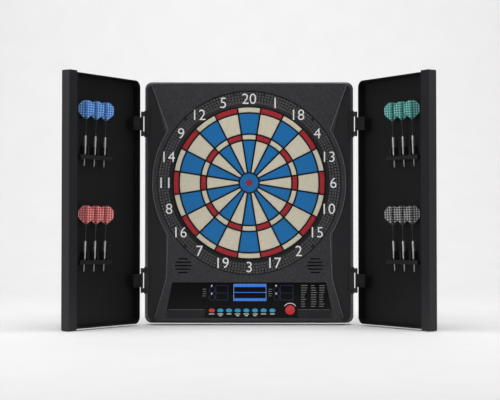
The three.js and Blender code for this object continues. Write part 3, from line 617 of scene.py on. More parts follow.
def tube(rows):
    """Faces between rows of points, with the first and the last row closed. Returns vertices and faces."""
    vertices, faces = band(rows)
    count = len(rows[0])
    last = len(vertices) - count
    return vertices, faces + [list(range(count)), [last + k for k in reversed(range(count))]]


def round_angles(count, radius=1.0):
    """Angles evenly round a circle, or a single one where the radius is nothing."""
    return [2 * math.pi * i / count for i in range(count if radius else 1)]


def lathe(build, profile, count, at=(0, 0), stretch=1.0, closed=False):
    """Turns [radius, y] points about a line along Y through (x, z). stretch flattens it in Z."""
    rows = [[(at[0] + radius * math.cos(a), y, at[1] + radius * stretch * math.sin(a))
             for a in round_angles(count, radius)] for radius, y in profile]
    build.add(*band(rows, closed))


def turned_up(build, profile, count, tag=0, place=None):
    """Turns [radius, z] points about Z."""
    rows = [[(radius * math.cos(a), radius * math.sin(a), z) for a in round_angles(count, radius)]
            for radius, z in profile]
    build.add(*band(rows), tag, place)


def slab(build, x, y, z, edge=0.0, tag=0, place=None):
    """A block between pairs of limits, with its front edges chamfered."""
    (x0, x1), (y0, y1), (z0, z1) = x, y, z
    rows = [[(x0, y1, z0), (x1, y1, z0), (x1, y1, z1), (x0, y1, z1)]]
    for inset, level in ((0.0, y0 + edge), (edge, y0)) if edge else ((0.0, y0),):
        rows.append([(x0 + inset, level, z0 + inset), (x1 - inset, level, z0 + inset),
                     (x1 - inset, level, z1 - inset), (x0 + inset, level, z1 - inset)])
    build.add(*tube(rows), tag, place)


def arc_plate(build, radii, angles, y, at, count, tag=0):
    """A flat piece of a ring, between two angles."""
    rows = []
    for i in range(count + 1):
        a = angles[0] + (angles[1] - angles[0]) * i / count
        section = ((radii[0], y[0]), (radii[1], y[0]), (radii[1], y[1]), (radii[0], y[1]))
        rows.append([(at[0] + r * math.cos(a), level, at[1] + r * math.sin(a)) for r, level in section])
    build.add(*tube(rows), tag)


def perforated(build, corner, columns, rows, share, depth, tag=0, lip=0.0, lip_tag=0):
    """A patch of square holes. corner(u, v, sink) gives the point at u across and v along, from 0 to 1.
    A lip in mm is the depth of the chamfer round each hole, whose mouth is then 1.6 times as wide."""
    low, high = 0.5 - share / 2, 0.5 + share / 2
    wide = 1.6 if lip else 1.0
    for row in range(rows):
        for column in range(columns):
            def at(u, v, sink=0.0):
                return corner((column + u) / columns, (row + v) / rows, sink)

            outer = [at(0, 0), at(1, 0), at(1, 1), at(0, 1)]
            hole = [(low, low), (high, low), (high, high), (low, high)]
            mouth = [(0.5 + (u - 0.5) * wide, 0.5 + (v - 0.5) * wide) for u, v in hole]
            levels = [outer, [at(u, v) for u, v in mouth]]
            if lip:
                levels.append([at(u, v, lip) for u, v in hole])
            levels.append([at(u, v, depth) for u, v in hole])
            vertices, faces = band(levels)
            last = len(vertices) - 4
            faces.append([last, last + 1, last + 2, last + 3])
            # The first four faces lie round the mouth, and the next four are the chamfer.
            build.add(vertices, faces, [lip_tag if lip and 4 <= k < 8 else tag for k in range(len(faces))])


def pointing(at, direction):
    """Maps local axes in mm so that +Z points along the direction from a point."""
    return Matrix.Translation(Vector(at)) @ Vector(direction).to_track_quat("Z", "Y").to_matrix().to_4x4()


def screw(build, at, direction, radius, height):
    """A pan-head screw with a cross recess cut into its head."""
    place = pointing(at, direction)
    arm, half = radius * 0.58, radius * 0.15
    cross = []
    for quarter in range(4):
        c, s = math.cos(quarter * math.pi / 2), math.sin(quarter * math.pi / 2)
        for x, y in ((arm, -half), (arm, half), (half, half)):
            cross.append((x * c - y * s, x * s + y * c))
    # Two of the rim's 24 points go with each of the cross's 12.
    circle = [math.radians(15 * (j - 1)) for j in range(24)]
    rim = [[(r * math.cos(a), r * math.sin(a), z) for a in circle]
           for r, z in ((radius, 0.0), (radius, height * 0.35), (radius * 0.93, height * 0.7),
                        (radius * 0.76, height))]
    vertices, faces = band(rim)
    top = len(vertices) - 24
    start = len(vertices)
    vertices += [(x, y, height) for x, y in cross] + [(x * 0.7, y * 0.7, height * 0.25) for x, y in cross]
    for k in range(12):
        n = (k + 1) % 12
        faces.append([top + 2 * k, top + 2 * k + 1, top + (2 * k + 2) % 24, start + n, start + k])
        faces.append([start + k, start + n, start + 12 + n, start + 12 + k])
    faces.append([start + 12 + k for k in range(12)])
    faces.append(list(range(24))[::-1])
    build.add(vertices, faces, place=place)


def evaluated_mesh(holder):
    """A new mesh of an object as its modifiers or its curve make it."""
    bpy.context.view_layer.update()
    return bpy.data.meshes.new_from_object(holder.evaluated_get(bpy.context.evaluated_depsgraph_get()))


PAINTED_SHADE_SLOPES = (0.03, 0.08)  # how far a side flat's normal leans to the left or right
WELD = 2e-6
FLAT_DEGREES = 0.6
SHARP_DEGREES = 32


def refined(node, body, slot, finish, width=None, shade_finish=None):
    """A finer copy of a CAD node: welded, its flats made whole, and its edges rounded. The flats that slope
    away to the left and right may take a darker finish of their own, which paints shade on them."""
    mesh = NODES[node].data.copy()
    mesh.name = node + "_shape"
    mesh.materials.clear()
    mesh.materials.append(finish_of(finish))
    if shade_finish:
        mesh.materials.append(finish_of(shade_finish))
    bm = bmesh.new()
    bm.from_mesh(mesh)
    bmesh.ops.remove_doubles(bm, verts=bm.verts, dist=WELD)
    bmesh.ops.dissolve_limit(bm, angle_limit=math.radians(FLAT_DEGREES), verts=bm.verts, edges=bm.edges)
    limit = math.radians(SHARP_DEGREES)
    sharp = [e for e in bm.edges if len(e.link_faces) == 2 and e.calc_face_angle(0) > limit]
    bmesh.ops.bevel(bm, geom=sharp, offset=width or settings("case_finish").edge, offset_type="OFFSET",
                    segments=2, profile=0.6, affect="EDGES", clamp_overlap=True)
    bmesh.ops.recalc_face_normals(bm, faces=bm.faces)
    for face in bm.faces:
        # Faces that lean slightly to the left or right get the darker finish: painted shade.
        slopes = PAINTED_SHADE_SLOPES[0] < abs(face.normal.x) < PAINTED_SHADE_SLOPES[1] and face.normal.y < -0.99
        face.material_index = int(bool(shade_finish) and slopes)
    bm.to_mesh(mesh)
    bm.free()
    piece = add_object(node + "_shape", mesh, angle=38)
    # Large flats keep their own normals, so only the rounded edges shade.
    piece.modifiers.new("flats", "WEIGHTED_NORMAL").keep_sharp = True
    piece.data = evaluated_mesh(piece)
    piece.data.name = node + "_shape"
    piece.modifiers.clear()
    settle(piece, body, slot, node)


def curve_mesh(curve):
    """The mesh of a curve or a text, in the curve's own axes."""
    holder = bpy.data.objects.new("holder", curve)
    bpy.context.scene.collection.objects.link(holder)
    mesh = evaluated_mesh(holder)
    bpy.data.objects.remove(holder)
    bpy.data.curves.remove(curve)
    return mesh


def figure_vertices(text, height, thickness):
    """A number's vertices and faces in mm, centred, in the XZ plane and facing -Y."""
    curve = bpy.data.curves.new("figure", "FONT")
    curve.body = text
    curve.extrude = thickness / 2
    curve.resolution_u = 5
    curve.offset = -0.005
    mesh = curve_mesh(curve)
    points = [Vector((v.co.x, v.co.z, v.co.y)) for v in mesh.vertices]
    faces = [list(p.vertices)[::-1] for p in mesh.polygons]
    bpy.data.meshes.remove(mesh)
    low = Vector([min(p[i] for p in points) for i in range(3)])
    high = Vector([max(p[i] for p in points) for i in range(3)])
    scale = height / (high.z - low.z)
    middle = (low + high) / 2
    return [Vector(((p.x - middle.x) * scale, p.y, (p.z - middle.z) * scale)) for p in points], faces


# ---- The target ----
TARGET_AT = (BOARD.x / MM, BOARD.z / MM)


def target_point(radius, angle, y):
    return (TARGET_AT[0] + radius * math.cos(angle), y, TARGET_AT[1] + radius * math.sin(angle))


def sector_point(radius, side, direction, wall, y):
    """A point of a segment: side runs from 0 to 1 between its two radial walls."""
    half = SECTOR / 2 - math.asin(wall / 2 / radius)
    return target_point(radius, direction + (1 - 2 * side) * half, y)


def ring_face(radius):
    """Depth of the number ring's dished face."""
    return RING_FRONT + RING_DISH * max(0.0, RING_BEZEL - radius) / (RING_BEZEL - RING_IN)


def segment(build, ring_radii, direction, tag):
    """One segment: a block with a rounded rim and rows of square holes for soft points."""
    low, high = ring_radii[0] + SEGMENT_EASE, ring_radii[1] - SEGMENT_EASE
    side_wall = WEB + 2 * SEGMENT_EASE
    wall = side_wall + 2 * SEGMENT_RIM
    finish = settings("target_finish")
    pitch, hole = finish.hole_pitch / MM, finish.hole_width / MM
    inner, outer = low + SEGMENT_RIM, high - SEGMENT_RIM
    rows = max(1, round((outer - inner) / pitch))
    step = (outer - inner) / rows
    limits = []
    first = upper = None
    for k in range(rows):
        a, b = inner + k * step + (ROW_SEAM if k else 0), inner + (k + 1) * step
        width = (a + b) * math.sin(SECTOR / 2 - math.asin(wall / (a + b)))
        columns = max(1, round(width / pitch))

        def corner(u, v, sink):
            return sector_point(a + (b - a) * v, u, direction, wall, SEGMENT_FRONT + sink)

        perforated(build, corner, columns, 1, min(0.7, hole * columns / width), HOLE_DEPTH, tag)
        lower = [(a, c / columns) for c in range(columns + 1)]
        if upper:
            seam = [sector_point(r, s, direction, wall, SEGMENT_FRONT) for r, s in upper + lower[::-1]]
            build.add(seam, [list(range(len(seam)))], tag)
        else:
            first = lower
        upper = [(b, c / columns) for c in range(columns + 1)]
        limits += [a, b]
    loop = [("low", s) for _, s in first] + [(r, 1) for r in limits[1:-1]]
    loop += [("high", s) for _, s in upper[::-1]] + [(r, 0) for r in limits[-2:0:-1]]
    levels = []
    for inset, y in ((SEGMENT_RIM, 0.0), (SEGMENT_RIM * 0.3, SEGMENT_RIM * 0.3), (0.0, SEGMENT_RIM),
                     (0.0, FLANGE_FRONT - SEGMENT_FRONT)):
        edge = {"low": low + inset, "high": high - inset}
        levels.append([sector_point(edge.get(r, r), s, direction, side_wall + 2 * inset, SEGMENT_FRONT + y)
                       for r, s in loop])
    vertices, faces = band(levels)
    count = len(loop)
    build.add(vertices, faces + [[len(vertices) - count + i for i in range(count)]], tag)


def door_place(side):
    """Maps a door's own axes to the cabinet's. X runs along the door from its hinge axis, and Y points
    towards the cabinet when the door is closed. The right door is the left one's mirror image."""
    joint = JOINTS[f"{side}_door_hinge"]
    turn = math.radians(SIDES[side] * abs(joint["range_deg"][0]))
    mirror = Matrix.Diagonal((-SIDES[side], 1, 1, 1))
    return Matrix.Translation(joint["pos_m"]) @ Matrix.Rotation(turn, 4, "Z") @ mirror


def dart_place(node, side):
    """A dart's own axes: Z runs from its point to its flight, and X lies in one vane."""
    axis = Vector(JOINTS[node + "_lift"]["axis"]).normalized()
    tip = min((v.co for v in NODES[node].data.vertices), key=lambda co: co.z)
    along = door_place(side).to_3x3() @ Vector((1, 0, 0))
    across = axis.cross(along).normalized()
    turned = Matrix((across.cross(axis), across, axis)).transposed().to_4x4()
    return Matrix.Translation(tip) @ turned @ Matrix.Rotation(math.pi / 4, 4, "Z")


# ---- Operators ----
class CABINET_OT_case(bpy.types.Operator):
    """Front housing with the beads along its edges, rear cover and the cover's screws"""

    bl_idname = "cabinet.case"
    bl_label = "Case"

    def execute(self, context):
        refined("front_housing", "cabinet", "housing", "housing", shade_finish="housing_painted_shade")
        refined("rear_cover", "cabinet", "cover", "cover")
        # The beads' pale colour is a painted highlight where the raised face meets the sloping sides.
        beads = Build("painted_highlight_edge")
        bow = [(BEAD_BOW * math.cos(a), TARGET_AT[1] + BEAD_BOW * math.sin(a))
               for a in (math.radians(degrees) for degrees in range(147, 214, 3))]
        for sign in (-1, 1):
            self.bead(beads, [(-sign * x, z) for x, z in (BEAD_TOP, *bow, *BEAD_FOOT)], PANEL_FRONT + 0.25)
        settle(beads.piece("face_edge_beads", angle=60), "cabinet", "housing")
        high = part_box("rear_cover")[1] / MM
        screws = Build("black_screw")
        inset = 11
        for x in (-1, 0, 1):
            for z in (-1, 0, 1):
                if x or z:
                    at = (x * (high.x - inset), high.y - 0.5, z * (high.z - inset))
                    screw(screws, at, (0, 1, 0), 3.4, 0.5)
        settle(screws.piece("rear_cover_screws"), "cabinet", "cover")
        return {"FINISHED"}

    def bead(self, beads, path, y, sides=8):
        """A rounded bead along a path of (x, z) points on the front face, half sunk in it."""
        rows = []
        for i, (x, z) in enumerate(path):
            before, after = path[max(i - 1, 0)], path[min(i + 1, len(path) - 1)]
            along = BEAD_RADIUS * Vector((after[0] - before[0], after[1] - before[1])).normalized()
            rows.append([(x - along.y * math.cos(a), y - BEAD_RADIUS * math.sin(a), z + along.x * math.cos(a))
                         for a in round_angles(sides)])
        beads.add(*tube(rows))


class CABINET_OT_number_ring(bpy.types.Operator):
    """Number ring with its perforated band, numbers and clips"""

    bl_idname = "cabinet.number_ring"
    bl_label = "Number ring"

    def execute(self, context):
        finish = settings("case_finish")
        # The chamfer round each hole is pale: a painted highlight.
        ring = Build("ring", "hole_chamfer_painted_highlight")
        count = finish.ring_holes
        inner, outer = RING_BAND

        def corner(u, v, sink):
            radius = inner + (outer - inner) * v
            return target_point(radius, 2 * math.pi * u, ring_face(radius) + sink)

        # The real holes stand about 4.8 mm apart. They are drawn 6 to 7 mm apart and wide, so that they show.
        perforated(ring, corner, count, RING_ROWS, RING_HOLE_SHARE, RING_HOLE_DEPTH,
                   lip=RING_HOLE_CHAMFER, lip_tag=1)
        lathe(ring, [(inner, ring_face(inner)), (inner - 0.5, ring_face(inner) - 0.25),
                     (RING_IN + 0.6, ring_face(RING_IN)), (RING_IN, ring_face(RING_IN) + 0.6),
                     (RING_IN, RING_BACK), (RING_OUT, RING_BACK - 1), (RING_OUT, RING_FRONT),
                     (RING_BEZEL, RING_FRONT), (outer, ring_face(outer))], count, TARGET_AT)
        settle(ring.piece("number_ring_shape", angle=30), "cabinet", "ring", "number_ring")

        numbers = Build("white_ink")
        for i, number in enumerate(NUMBERS):
            angle = math.pi / 2 - i * SECTOR
            x, _, z = target_point(NUMBER_RADIUS, angle, 0)
            vertices, faces = figure_vertices(str(number), finish.number_height / MM, 0.3)
            placed = []
            for v in vertices:
                radius = math.hypot(x + v.x - TARGET_AT[0], z + v.z - TARGET_AT[1])
                placed.append((x + v.x, ring_face(radius) - 0.2 + v.y, z + v.z))
            numbers.add(placed, faces)
        settle(numbers.piece("ring_numbers"), "cabinet", "ring")

        clips = Build("fitting")
        face = ring_face(CLIP_RADIUS)
        for degrees in CLIP_DEGREES:
            angle = math.radians(degrees)
            middle = target_point(CLIP_RADIUS, angle, 0)
            turn = Matrix.Translation(Vector(middle)) @ Matrix.Rotation(math.pi / 2 - angle, 4, "Y")
            slab(clips, (-2.2, 2.2), (face - 0.9, face + 0.6), (-4.2, 4.2), 0.5, place=turn)
        settle(clips.piece("ring_clips"), "cabinet", "ring")
        return {"FINISHED"}


class CABINET_OT_spider(bpy.types.Operator):
    """Spider: the walls between the segments, and the lip behind the number ring"""

    bl_idname = "cabinet.spider"
    bl_label = "Spider"

    def execute(self, context):
        edge = 0.35
        curve = bpy.data.curves.new("web", "CURVE")
        curve.dimensions = "2D"
        curve.fill_mode = "BOTH"
        curve.extrude = (SPIDER_BACK - SPIDER_FRONT) / 2 - edge
        curve.bevel_depth = edge
        curve.bevel_resolution = 1
        curve.offset = -edge
        loops = [[target_point(RING_IN - GAP, a, 0) for a in round_angles(160)],
                 [target_point(BULL_EDGE + GAP, a, 0) for a in round_angles(60)]]
        wall = WEB - 2 * GAP
        arc = [c / 8 for c in range(9)]
        for radii in RINGS.values():
            for i in range(len(NUMBERS)):
                direction = math.pi / 2 - i * SECTOR
                loop = [sector_point(radii[0] - GAP, side, direction, wall, 0) for side in arc]
                loop += [sector_point(radii[1] + GAP, 1 - side, direction, wall, 0) for side in arc]
                loops.append(loop)
        for loop in loops:
            spline = curve.splines.new("POLY")
            spline.points.add(len(loop) - 1)
            for point, (x, _, z) in zip(spline.points, loop):
                point.co = (x, z, 0, 1)
            spline.use_cyclic_u = True
        mesh = curve_mesh(curve)
        web = Build("spider")
        middle = (SPIDER_FRONT + SPIDER_BACK) / 2
        web.add([(v.co.x, middle - v.co.z, v.co.y) for v in mesh.vertices],
                [list(p.vertices) for p in mesh.polygons])
        bpy.data.meshes.remove(mesh)
        lip_in, lip_out = RING_IN - 1.5, RING_IN + 6.5
        lathe(web, [(lip_in, RING_BACK + 0.4), (lip_out, RING_BACK + 0.4), (lip_out, SPIDER_BACK),
                    (lip_in, SPIDER_BACK)], 80, TARGET_AT, closed=True)
        settle(web.piece("spider_shape", angle=40), "cabinet", "spider", "spider")
        return {"FINISHED"}


class CABINET_OT_segments(bpy.types.Operator):
    """The four rings of segments, each on the flange that joins it behind the spider"""

    bl_idname = "cabinet.segments"
    bl_label = "Segments"

    def execute(self, context):
        slots = dict(zip(RINGS, ("double_segment", "outer_segment", "treble_segment", "inner_segment")))
        edges = [BULL_EDGE, *(r for radii in reversed(RINGS.values()) for r in radii), RING_IN]
        for name, radii in RINGS.items():
            finishes = ("blue", "cream") if "single" in name else ("cream", "red")
            ring = Build(*finishes)
            for i in range(len(NUMBERS)):
                segment(ring, radii, math.pi / 2 - i * SECTOR, i % 2)
            below = edges[edges.index(radii[0]) - 1]
            above = edges[edges.index(radii[1]) + 1]
            low, high = (below + radii[0]) / 2 + GAP, (radii[1] + above) / 2 - GAP
            lathe(ring, [(low, FLANGE_FRONT), (high, FLANGE_FRONT), (high, FLANGE_BACK), (low, FLANGE_BACK)],
                  80, TARGET_AT, closed=True)
            settle(ring.piece(name + "_shape"), name, slots[name], name)
        return {"FINISHED"}


class CABINET_OT_bulls(bpy.types.Operator):
    """Outer and inner bull"""

    bl_idname = "cabinet.bulls"
    bl_label = "Bulls"

    def execute(self, context):
        rim = SEGMENT_RIM
        flange_r = 10.0
        for name, low, high, columns, rows, finish in (
            ("outer_bull", BULL_HOLE + rim, BULL_EDGE - rim, 26, 3, "blue"),
            ("inner_bull", 2.0, BULL_HOLE - GAP - rim, 9, 1, "red"),
        ):
            bull = Build(finish)

            def corner(u, v, sink):
                return target_point(low + (high - low) * v, 2 * math.pi * u, SEGMENT_FRONT + sink)

            perforated(bull, corner, columns, rows, 0.4, HOLE_DEPTH)
            outside = [(high, SEGMENT_FRONT), (high + rim * 0.7, SEGMENT_FRONT + rim * 0.3),
                       (high + rim, SEGMENT_FRONT + rim)]
            if name == "outer_bull":
                flange = high + rim + 1.2
                back = [(high + rim, FLANGE_FRONT), (flange, FLANGE_FRONT), (flange, FLANGE_BACK),
                        (flange_r + GAP, FLANGE_BACK), (flange_r + GAP, FLANGE_FRONT + GAP),
                        (low - rim, FLANGE_FRONT + GAP), (low - rim, SEGMENT_FRONT + rim),
                        (low - rim * 0.7, SEGMENT_FRONT + rim * 0.3), (low, SEGMENT_FRONT)]
            else:
                lathe(bull, [(low, SEGMENT_FRONT), (0.9, SEGMENT_FRONT), (0.9, SEGMENT_FRONT + 1.2),
                             (0, SEGMENT_FRONT + 1.2)], columns, TARGET_AT)
                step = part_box("inner_bull")[1].y / MM - 0.5
                back = [(high + rim, step), (flange_r, step), (flange_r, FLANGE_BACK), (0, FLANGE_BACK)]
            lathe(bull, outside + back, columns, TARGET_AT)
            settle(bull.piece(name + "_shape"), name, name, name)
        return {"FINISHED"}


class CABINET_OT_works(bpy.types.Operator):
    """What lies behind the target and the panel: mat, sensor, display, circuit board and speakers"""

    bl_idname = "cabinet.works"
    bl_label = "Works"

    def execute(self, context):
        for node, key in (("rubber_mat", "rubber"), ("sensor_membrane", "film"),
                          ("display_module", "display"), ("control_board", "board"),
                          ("speaker_left", "cone"), ("speaker_right", "cone")):
            NODES[node].data.materials.clear()
            NODES[node].data.materials.append(finish_of(key))
        refined("power_jack", "cabinet", "jack", "fitting", 0.25 * MM)
        middle = centre("power_jack") / MM
        pin = Build("nickel")
        pin_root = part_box("power_jack")[0].z / MM + 10.5
        place = pointing((middle.x, middle.y, pin_root), (0, 0, -1))
        turned_up(pin, [(0, 0), (1.0, 0), (1.0, 7.5), (0.7, 8.2), (0, 8.5)], 16, place=place)
        settle(pin.piece("power_jack_pin"), "cabinet", "jack")
        return {"FINISHED"}


class CABINET_OT_panel(bpy.types.Operator):
    """Control panel's window with its display bars and printed marks, and the strips at the panel's foot"""

    bl_idname = "cabinet.panel"
    bl_label = "Control panel"

    def execute(self, context):
        refined("display_lens", "cabinet", "lens", "lens", 0.3 * MM)
        y = (LENS_FRONT - 0.16, LENS_FRONT + 0.06)
        marks = Build("lit_blue", "lit_pale", "dim_blue", "white_ink", "grey_ink")
        lit, pale, dim, white, grey = range(5)

        def bar(x0, x1, z0, z1, tag):
            slab(marks, (x0, x1), y, (z0, z1), tag=tag)

        def outline(x0, x1, z0, z1, width, tag):
            bar(x0, x1, z1 - width, z1, tag)
            bar(x0, x1, z0, z0 + width, tag)
            bar(x0, x0 + width, z0 + width, z1 - width, tag)
            bar(x1 - width, x1, z0 + width, z1 - width, tag)

        outline(*DISPLAY_FRAME, 0.8, pale)
        for z0, z1 in DISPLAY_BARS:
            bar(*DISPLAY_ENDS, z0, z1, lit)
        for i in range(8):
            x = LAMP_FIRST + i * LAMP_PITCH
            for z in (-190.2, -220.8):
                bar(x - LAMP_HALF, x + LAMP_HALF, z, z + 1.6, pale)
        for x0, x1 in SCORES:
            outline(x0, x1, *SCORE_LEVELS, 0.9, dim)
            bar(x0 + 0.9, x1 - 0.9, -206.0, -205.1, dim)
            for z in (-198.6, -215.6):
                arc_plate(marks, (6.0, 6.9), (0, 2 * math.pi), y, (x0 - 8.0, z), 28, dim)
            for z in (-191.6, -209.0):
                bar(x0 - 10.4, x0 - 8.9, z, z + 4.0, white)
                bar(x0 - 8.9, x0 - 7.0, z + 2.0, z + 4.0, white)
        # The printed notes are plain bars of uneven length, with no letters.
        randomly = random.Random(11)
        for x0 in (-106.0, 42.5):
            for row in range(4):
                z = -197.6 - row * 5.0
                bar(x0 + randomly.uniform(0, 2), x0 + randomly.uniform(7.5, 10), z, z + 1.3, grey)
        for column, x0 in enumerate(NOTE_COLUMNS):
            for row in range(10):
                z = -188.0 - row * 5.2
                length = randomly.uniform(7.5, 15.0 if column < 2 else 13.0)
                bar(x0, min(x0 + length, 172.5 + row * 0.8), z - 1.5, z, grey)
        for i in range(8):
            middle = centre(f"button_{i + 1}").x / MM
            bar(middle - randomly.uniform(5, 6.5), middle + randomly.uniform(5, 6.5), -253.7, -252.0, white)
            if i in (1, 3, 4, 5):
                bar(middle - 3.4, middle + 3.4, -257.4, -255.8, white)
        # The strips take the same darker colour as the sloping sides, which is painted shade.
        strip = Build("housing_painted_shade", "painted_highlight_edge")
        for sign, inner in FOOT_INNER.items():
            foot = [(inner, FOOT_TOP), *FOOT_END, (inner, FOOT_BOTTOM)]
            strip.add(*tube([[(sign * u, PANEL_FRONT + d, z) for u, z in foot] for d in (-0.2, 0.1)]))
            # Its top edge is pale: a painted highlight.
            ends = sorted((sign * inner, sign * 182.0))
            slab(strip, ends, (PANEL_FRONT - 0.35, PANEL_FRONT + 0.1), (FOOT_TOP, FOOT_TOP + 0.8), 0.15,
                 tag=1)
        settle(strip.piece("panel_foot_strips"), "cabinet", "housing")
        start = centre("start_button") / MM
        span = (math.radians(35), math.radians(145))
        arc_plate(marks, (14.4, 16.0), span, y, (start.x, start.z), 22, white)
        settle(marks.piece("panel_marks"), "cabinet", "lens")
        return {"FINISHED"}


class CABINET_OT_buttons(bpy.types.Operator):
    """Eight oval buttons and the round start button"""

    bl_idname = "cabinet.buttons"
    bl_label = "Buttons"

    def execute(self, context):
        for i in range(8):
            finish, slot = ("mode_button", "button_blue") if i else ("power_button", "button_red")
            self.cap(f"button_{i + 1}", BUTTON_ROUND, BUTTON_STRETCH, 1.6, finish, slot)
        self.cap("start_button", START_ROUND, 1.0, 1.0, "start_button", "start_button")
        return {"FINISHED"}

    def cap(self, name, radius, stretch, collar, finish, slot):
        """A domed cap on a collar that the panel holds in. The round button's dome is dished."""
        low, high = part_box(name)
        front, back = low.y / MM, high.y / MM
        middle = centre(name) / MM
        cap = Build(finish)
        round_in = [(0, front), (radius * 0.35, front + 0.05), (radius * 0.62, front + 0.2),
                    (radius * 0.82, front + 0.5), (radius * 0.94, front + 0.95), (radius, front + 1.7)]
        if name == "start_button":
            round_in = [(0, front + 0.9), (radius * 0.5, front + 0.75), (radius * 0.72, front + 0.4),
                        (radius * 0.8, front + 0.05), (radius * 0.88, front), (radius * 0.96, front + 0.4),
                        (radius, front + 1.2)]
        lathe(cap, round_in + [(radius, back - 1.5), (radius + collar, back - 1.5), (radius + collar, back),
                               (0, back)], 40, (middle.x, middle.z), stretch)
        settle(cap.piece(name + "_cap"), name, slot, name)


class CABINET_OT_hinges(bpy.types.Operator):
    """Hinge brackets, leaves, pins and their screws"""

    bl_idname = "cabinet.hinges"
    bl_label = "Hinges"

    def execute(self, context):
        for side, sign in SIDES.items():
            screws = Build("black_screw")
            leaf_screws = Build("black_screw")
            for level in ("upper", "lower"):
                base = f"{side}_{level}_hinge"
                refined(base + "_bracket", "cabinet", "hinge_bracket", "fitting", 0.4 * MM)
                refined(base + "_leaf", side + "_door", "hinge_leaf", "fitting", 0.4 * MM)
                bracket = centre(base + "_bracket") / MM
                x = sign * (abs(bracket.x) - 4.2)
                for z in (-23.0, 23.0):
                    screw(screws, (x, PANEL_FRONT - 2.5, bracket.z + z), (0, -1, 0), 2.4, 0.8)
                for z in (-9.0, 9.0):
                    for u in (8.5, 22.0):
                        screw(leaf_screws, (u, LEAF_FACE_Y, bracket.z + z), (0, 1, 0), 2.2, 0.8)
                pin = Build("zinc")
                low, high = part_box(base + "_pin")
                middle = (low + high) / 2 / MM
                length_mm, radius = (high.z - low.z) / MM, (high.x - low.x) / 2 / MM
                place = Matrix.Translation((middle.x, middle.y, bracket.z - length_mm / 2))
                turned_up(pin, [(0, 0), (radius - 0.3, 0), (radius, 0.4), (radius, length_mm - 0.4),
                                (radius - 0.3, length_mm), (0, length_mm)], 20, place=place)
                settle(pin.piece(base + "_pin_shape"), "cabinet", "hinge_pin", base + "_pin")
            settle(screws.piece(side + "_bracket_screws"), "cabinet", "hinge_bracket")
            settle(leaf_screws.piece(side + "_leaf_screws", door_place(side)), side + "_door", "hinge_leaf")
        return {"FINISHED"}


class CABINET_OT_doors(bpy.types.Operator):
    """Door trays with their faint bosses, and the bars at their free edges"""

    bl_idname = "cabinet.doors"
    bl_label = "Doors"

    def execute(self, context):
        for side in SIDES:
            body = side + "_door"
            refined(side + "_door_shell", body, "door", "door")
            refined(side + "_door_stile", body, "stile", "stile")
            spots = Build("door")
            profile = [(r, DOOR_PANEL_Y + y) for r, y in ((0, 0.25), (3.4, 0.25), (3.9, 0.45), (4.4, 0.45),
                                                          (4.9, -0.2), (0, -0.2))]
            for place in DOOR_BOSSES[side]:
                lathe(spots, profile, 28, place)
            settle(spots.piece(side + "_door_bosses", door_place(side)), body, "door")
        return {"FINISHED"}


class CABINET_OT_racks(bpy.types.Operator):
    """Dart racks and their screws"""

    bl_idname = "cabinet.racks"
    bl_label = "Dart racks"

    def execute(self, context):
        for rack in RACKS:
            side = rack.split("_")[0]
            node = rack + "_dart_rack"
            refined(node, side + "_door", "rack", "fitting", 0.5 * MM)
            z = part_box(node)[1].z / MM - 8
            screws = Build("black_screw")
            for u in (-46.4, 46.4):
                screw(screws, (RACK_CENTRE + u, RACK_FACE_Y, z), (0, 1, 0), 2.6, 1.0)
            settle(screws.piece(rack + "_rack_screws", door_place(side)), side + "_door", "rack")
        return {"FINISHED"}


class CABINET_OT_darts(bpy.types.Operator):
    """Twelve darts: point, grooved barrel, shaft and four vanes"""

    bl_idname = "cabinet.darts"
    bl_label = "Darts"

    def execute(self, context):
        slots = dict(zip(RACKS, ("dart_blue", "dart_red", "dart_green", "dart_black")))
        for rack in RACKS:
            for i in range(1, 4):
                node = f"{rack}_dart_{i}"
                place = dart_place(node, rack.split("_")[0])
                settle(self.dart(rack + "_flight").piece(node + "_shape", place), node, slots[rack], node)
        return {"FINISHED"}

    def dart(self, flight):
        """One dart along Z from its point, with its flight in the rack's film."""
        dart = Build("point", "nickel", "shaft", flight)
        point, nickel, shaft, film = range(4)
        turned_up(dart, [(0, 0), (0.45, 0.25), (0.7, 1.6), (1.1, 9), (1.1, 19), (1.05, 21.5),
                         (1.05, POINT_L + 0.4), (0, POINT_L + 0.4)], 14, point)
        barrel_end = POINT_L + BARREL_L
        profile = [(0, POINT_L), (1.5, POINT_L), (2.3, POINT_L + 1.4), (BARREL_R, POINT_L + 4.2)]
        pitch = settings("dart_finish").groove_pitch / MM
        z = POINT_L + 7.0
        while z + pitch < barrel_end - 5.0:
            profile += [(BARREL_R, z), (BARREL_R - GROOVE_DEPTH, z + 0.2),
                        (BARREL_R - GROOVE_DEPTH, z + 0.5), (BARREL_R, z + 0.7)]
            z += pitch
        profile += [(BARREL_R, barrel_end - 3.0), (2.5, barrel_end - 1.2), (2.3, barrel_end), (0, barrel_end)]
        turned_up(dart, profile, 20, nickel)
        shaft_end = barrel_end + SHAFT_L
        turned_up(dart, [(0, barrel_end + 0.02), (1.9, barrel_end + 0.02), (1.9, barrel_end + 2.2),
                         (1.25, barrel_end + 4.5), (1.15, shaft_end - 12.0), (1.7, shaft_end - 9.0),
                         (1.8, shaft_end), (1.5, shaft_end + 6.0), (1.2, shaft_end + 7.5),
                         (0, shaft_end + 7.8)], 14, shaft)
        half = settings("dart_finish").vane / MM / 2
        outline = [(max(x, half), z + shaft_end) for x, z in FLIGHT_OUTLINE]
        vane = tube([[(x, y, z) for x, z in outline] for y in (-half, half)])
        for quarter in range(4):
            dart.add(*vane, film, Matrix.Rotation(quarter * math.pi / 2, 4, "Z"))
        return dart


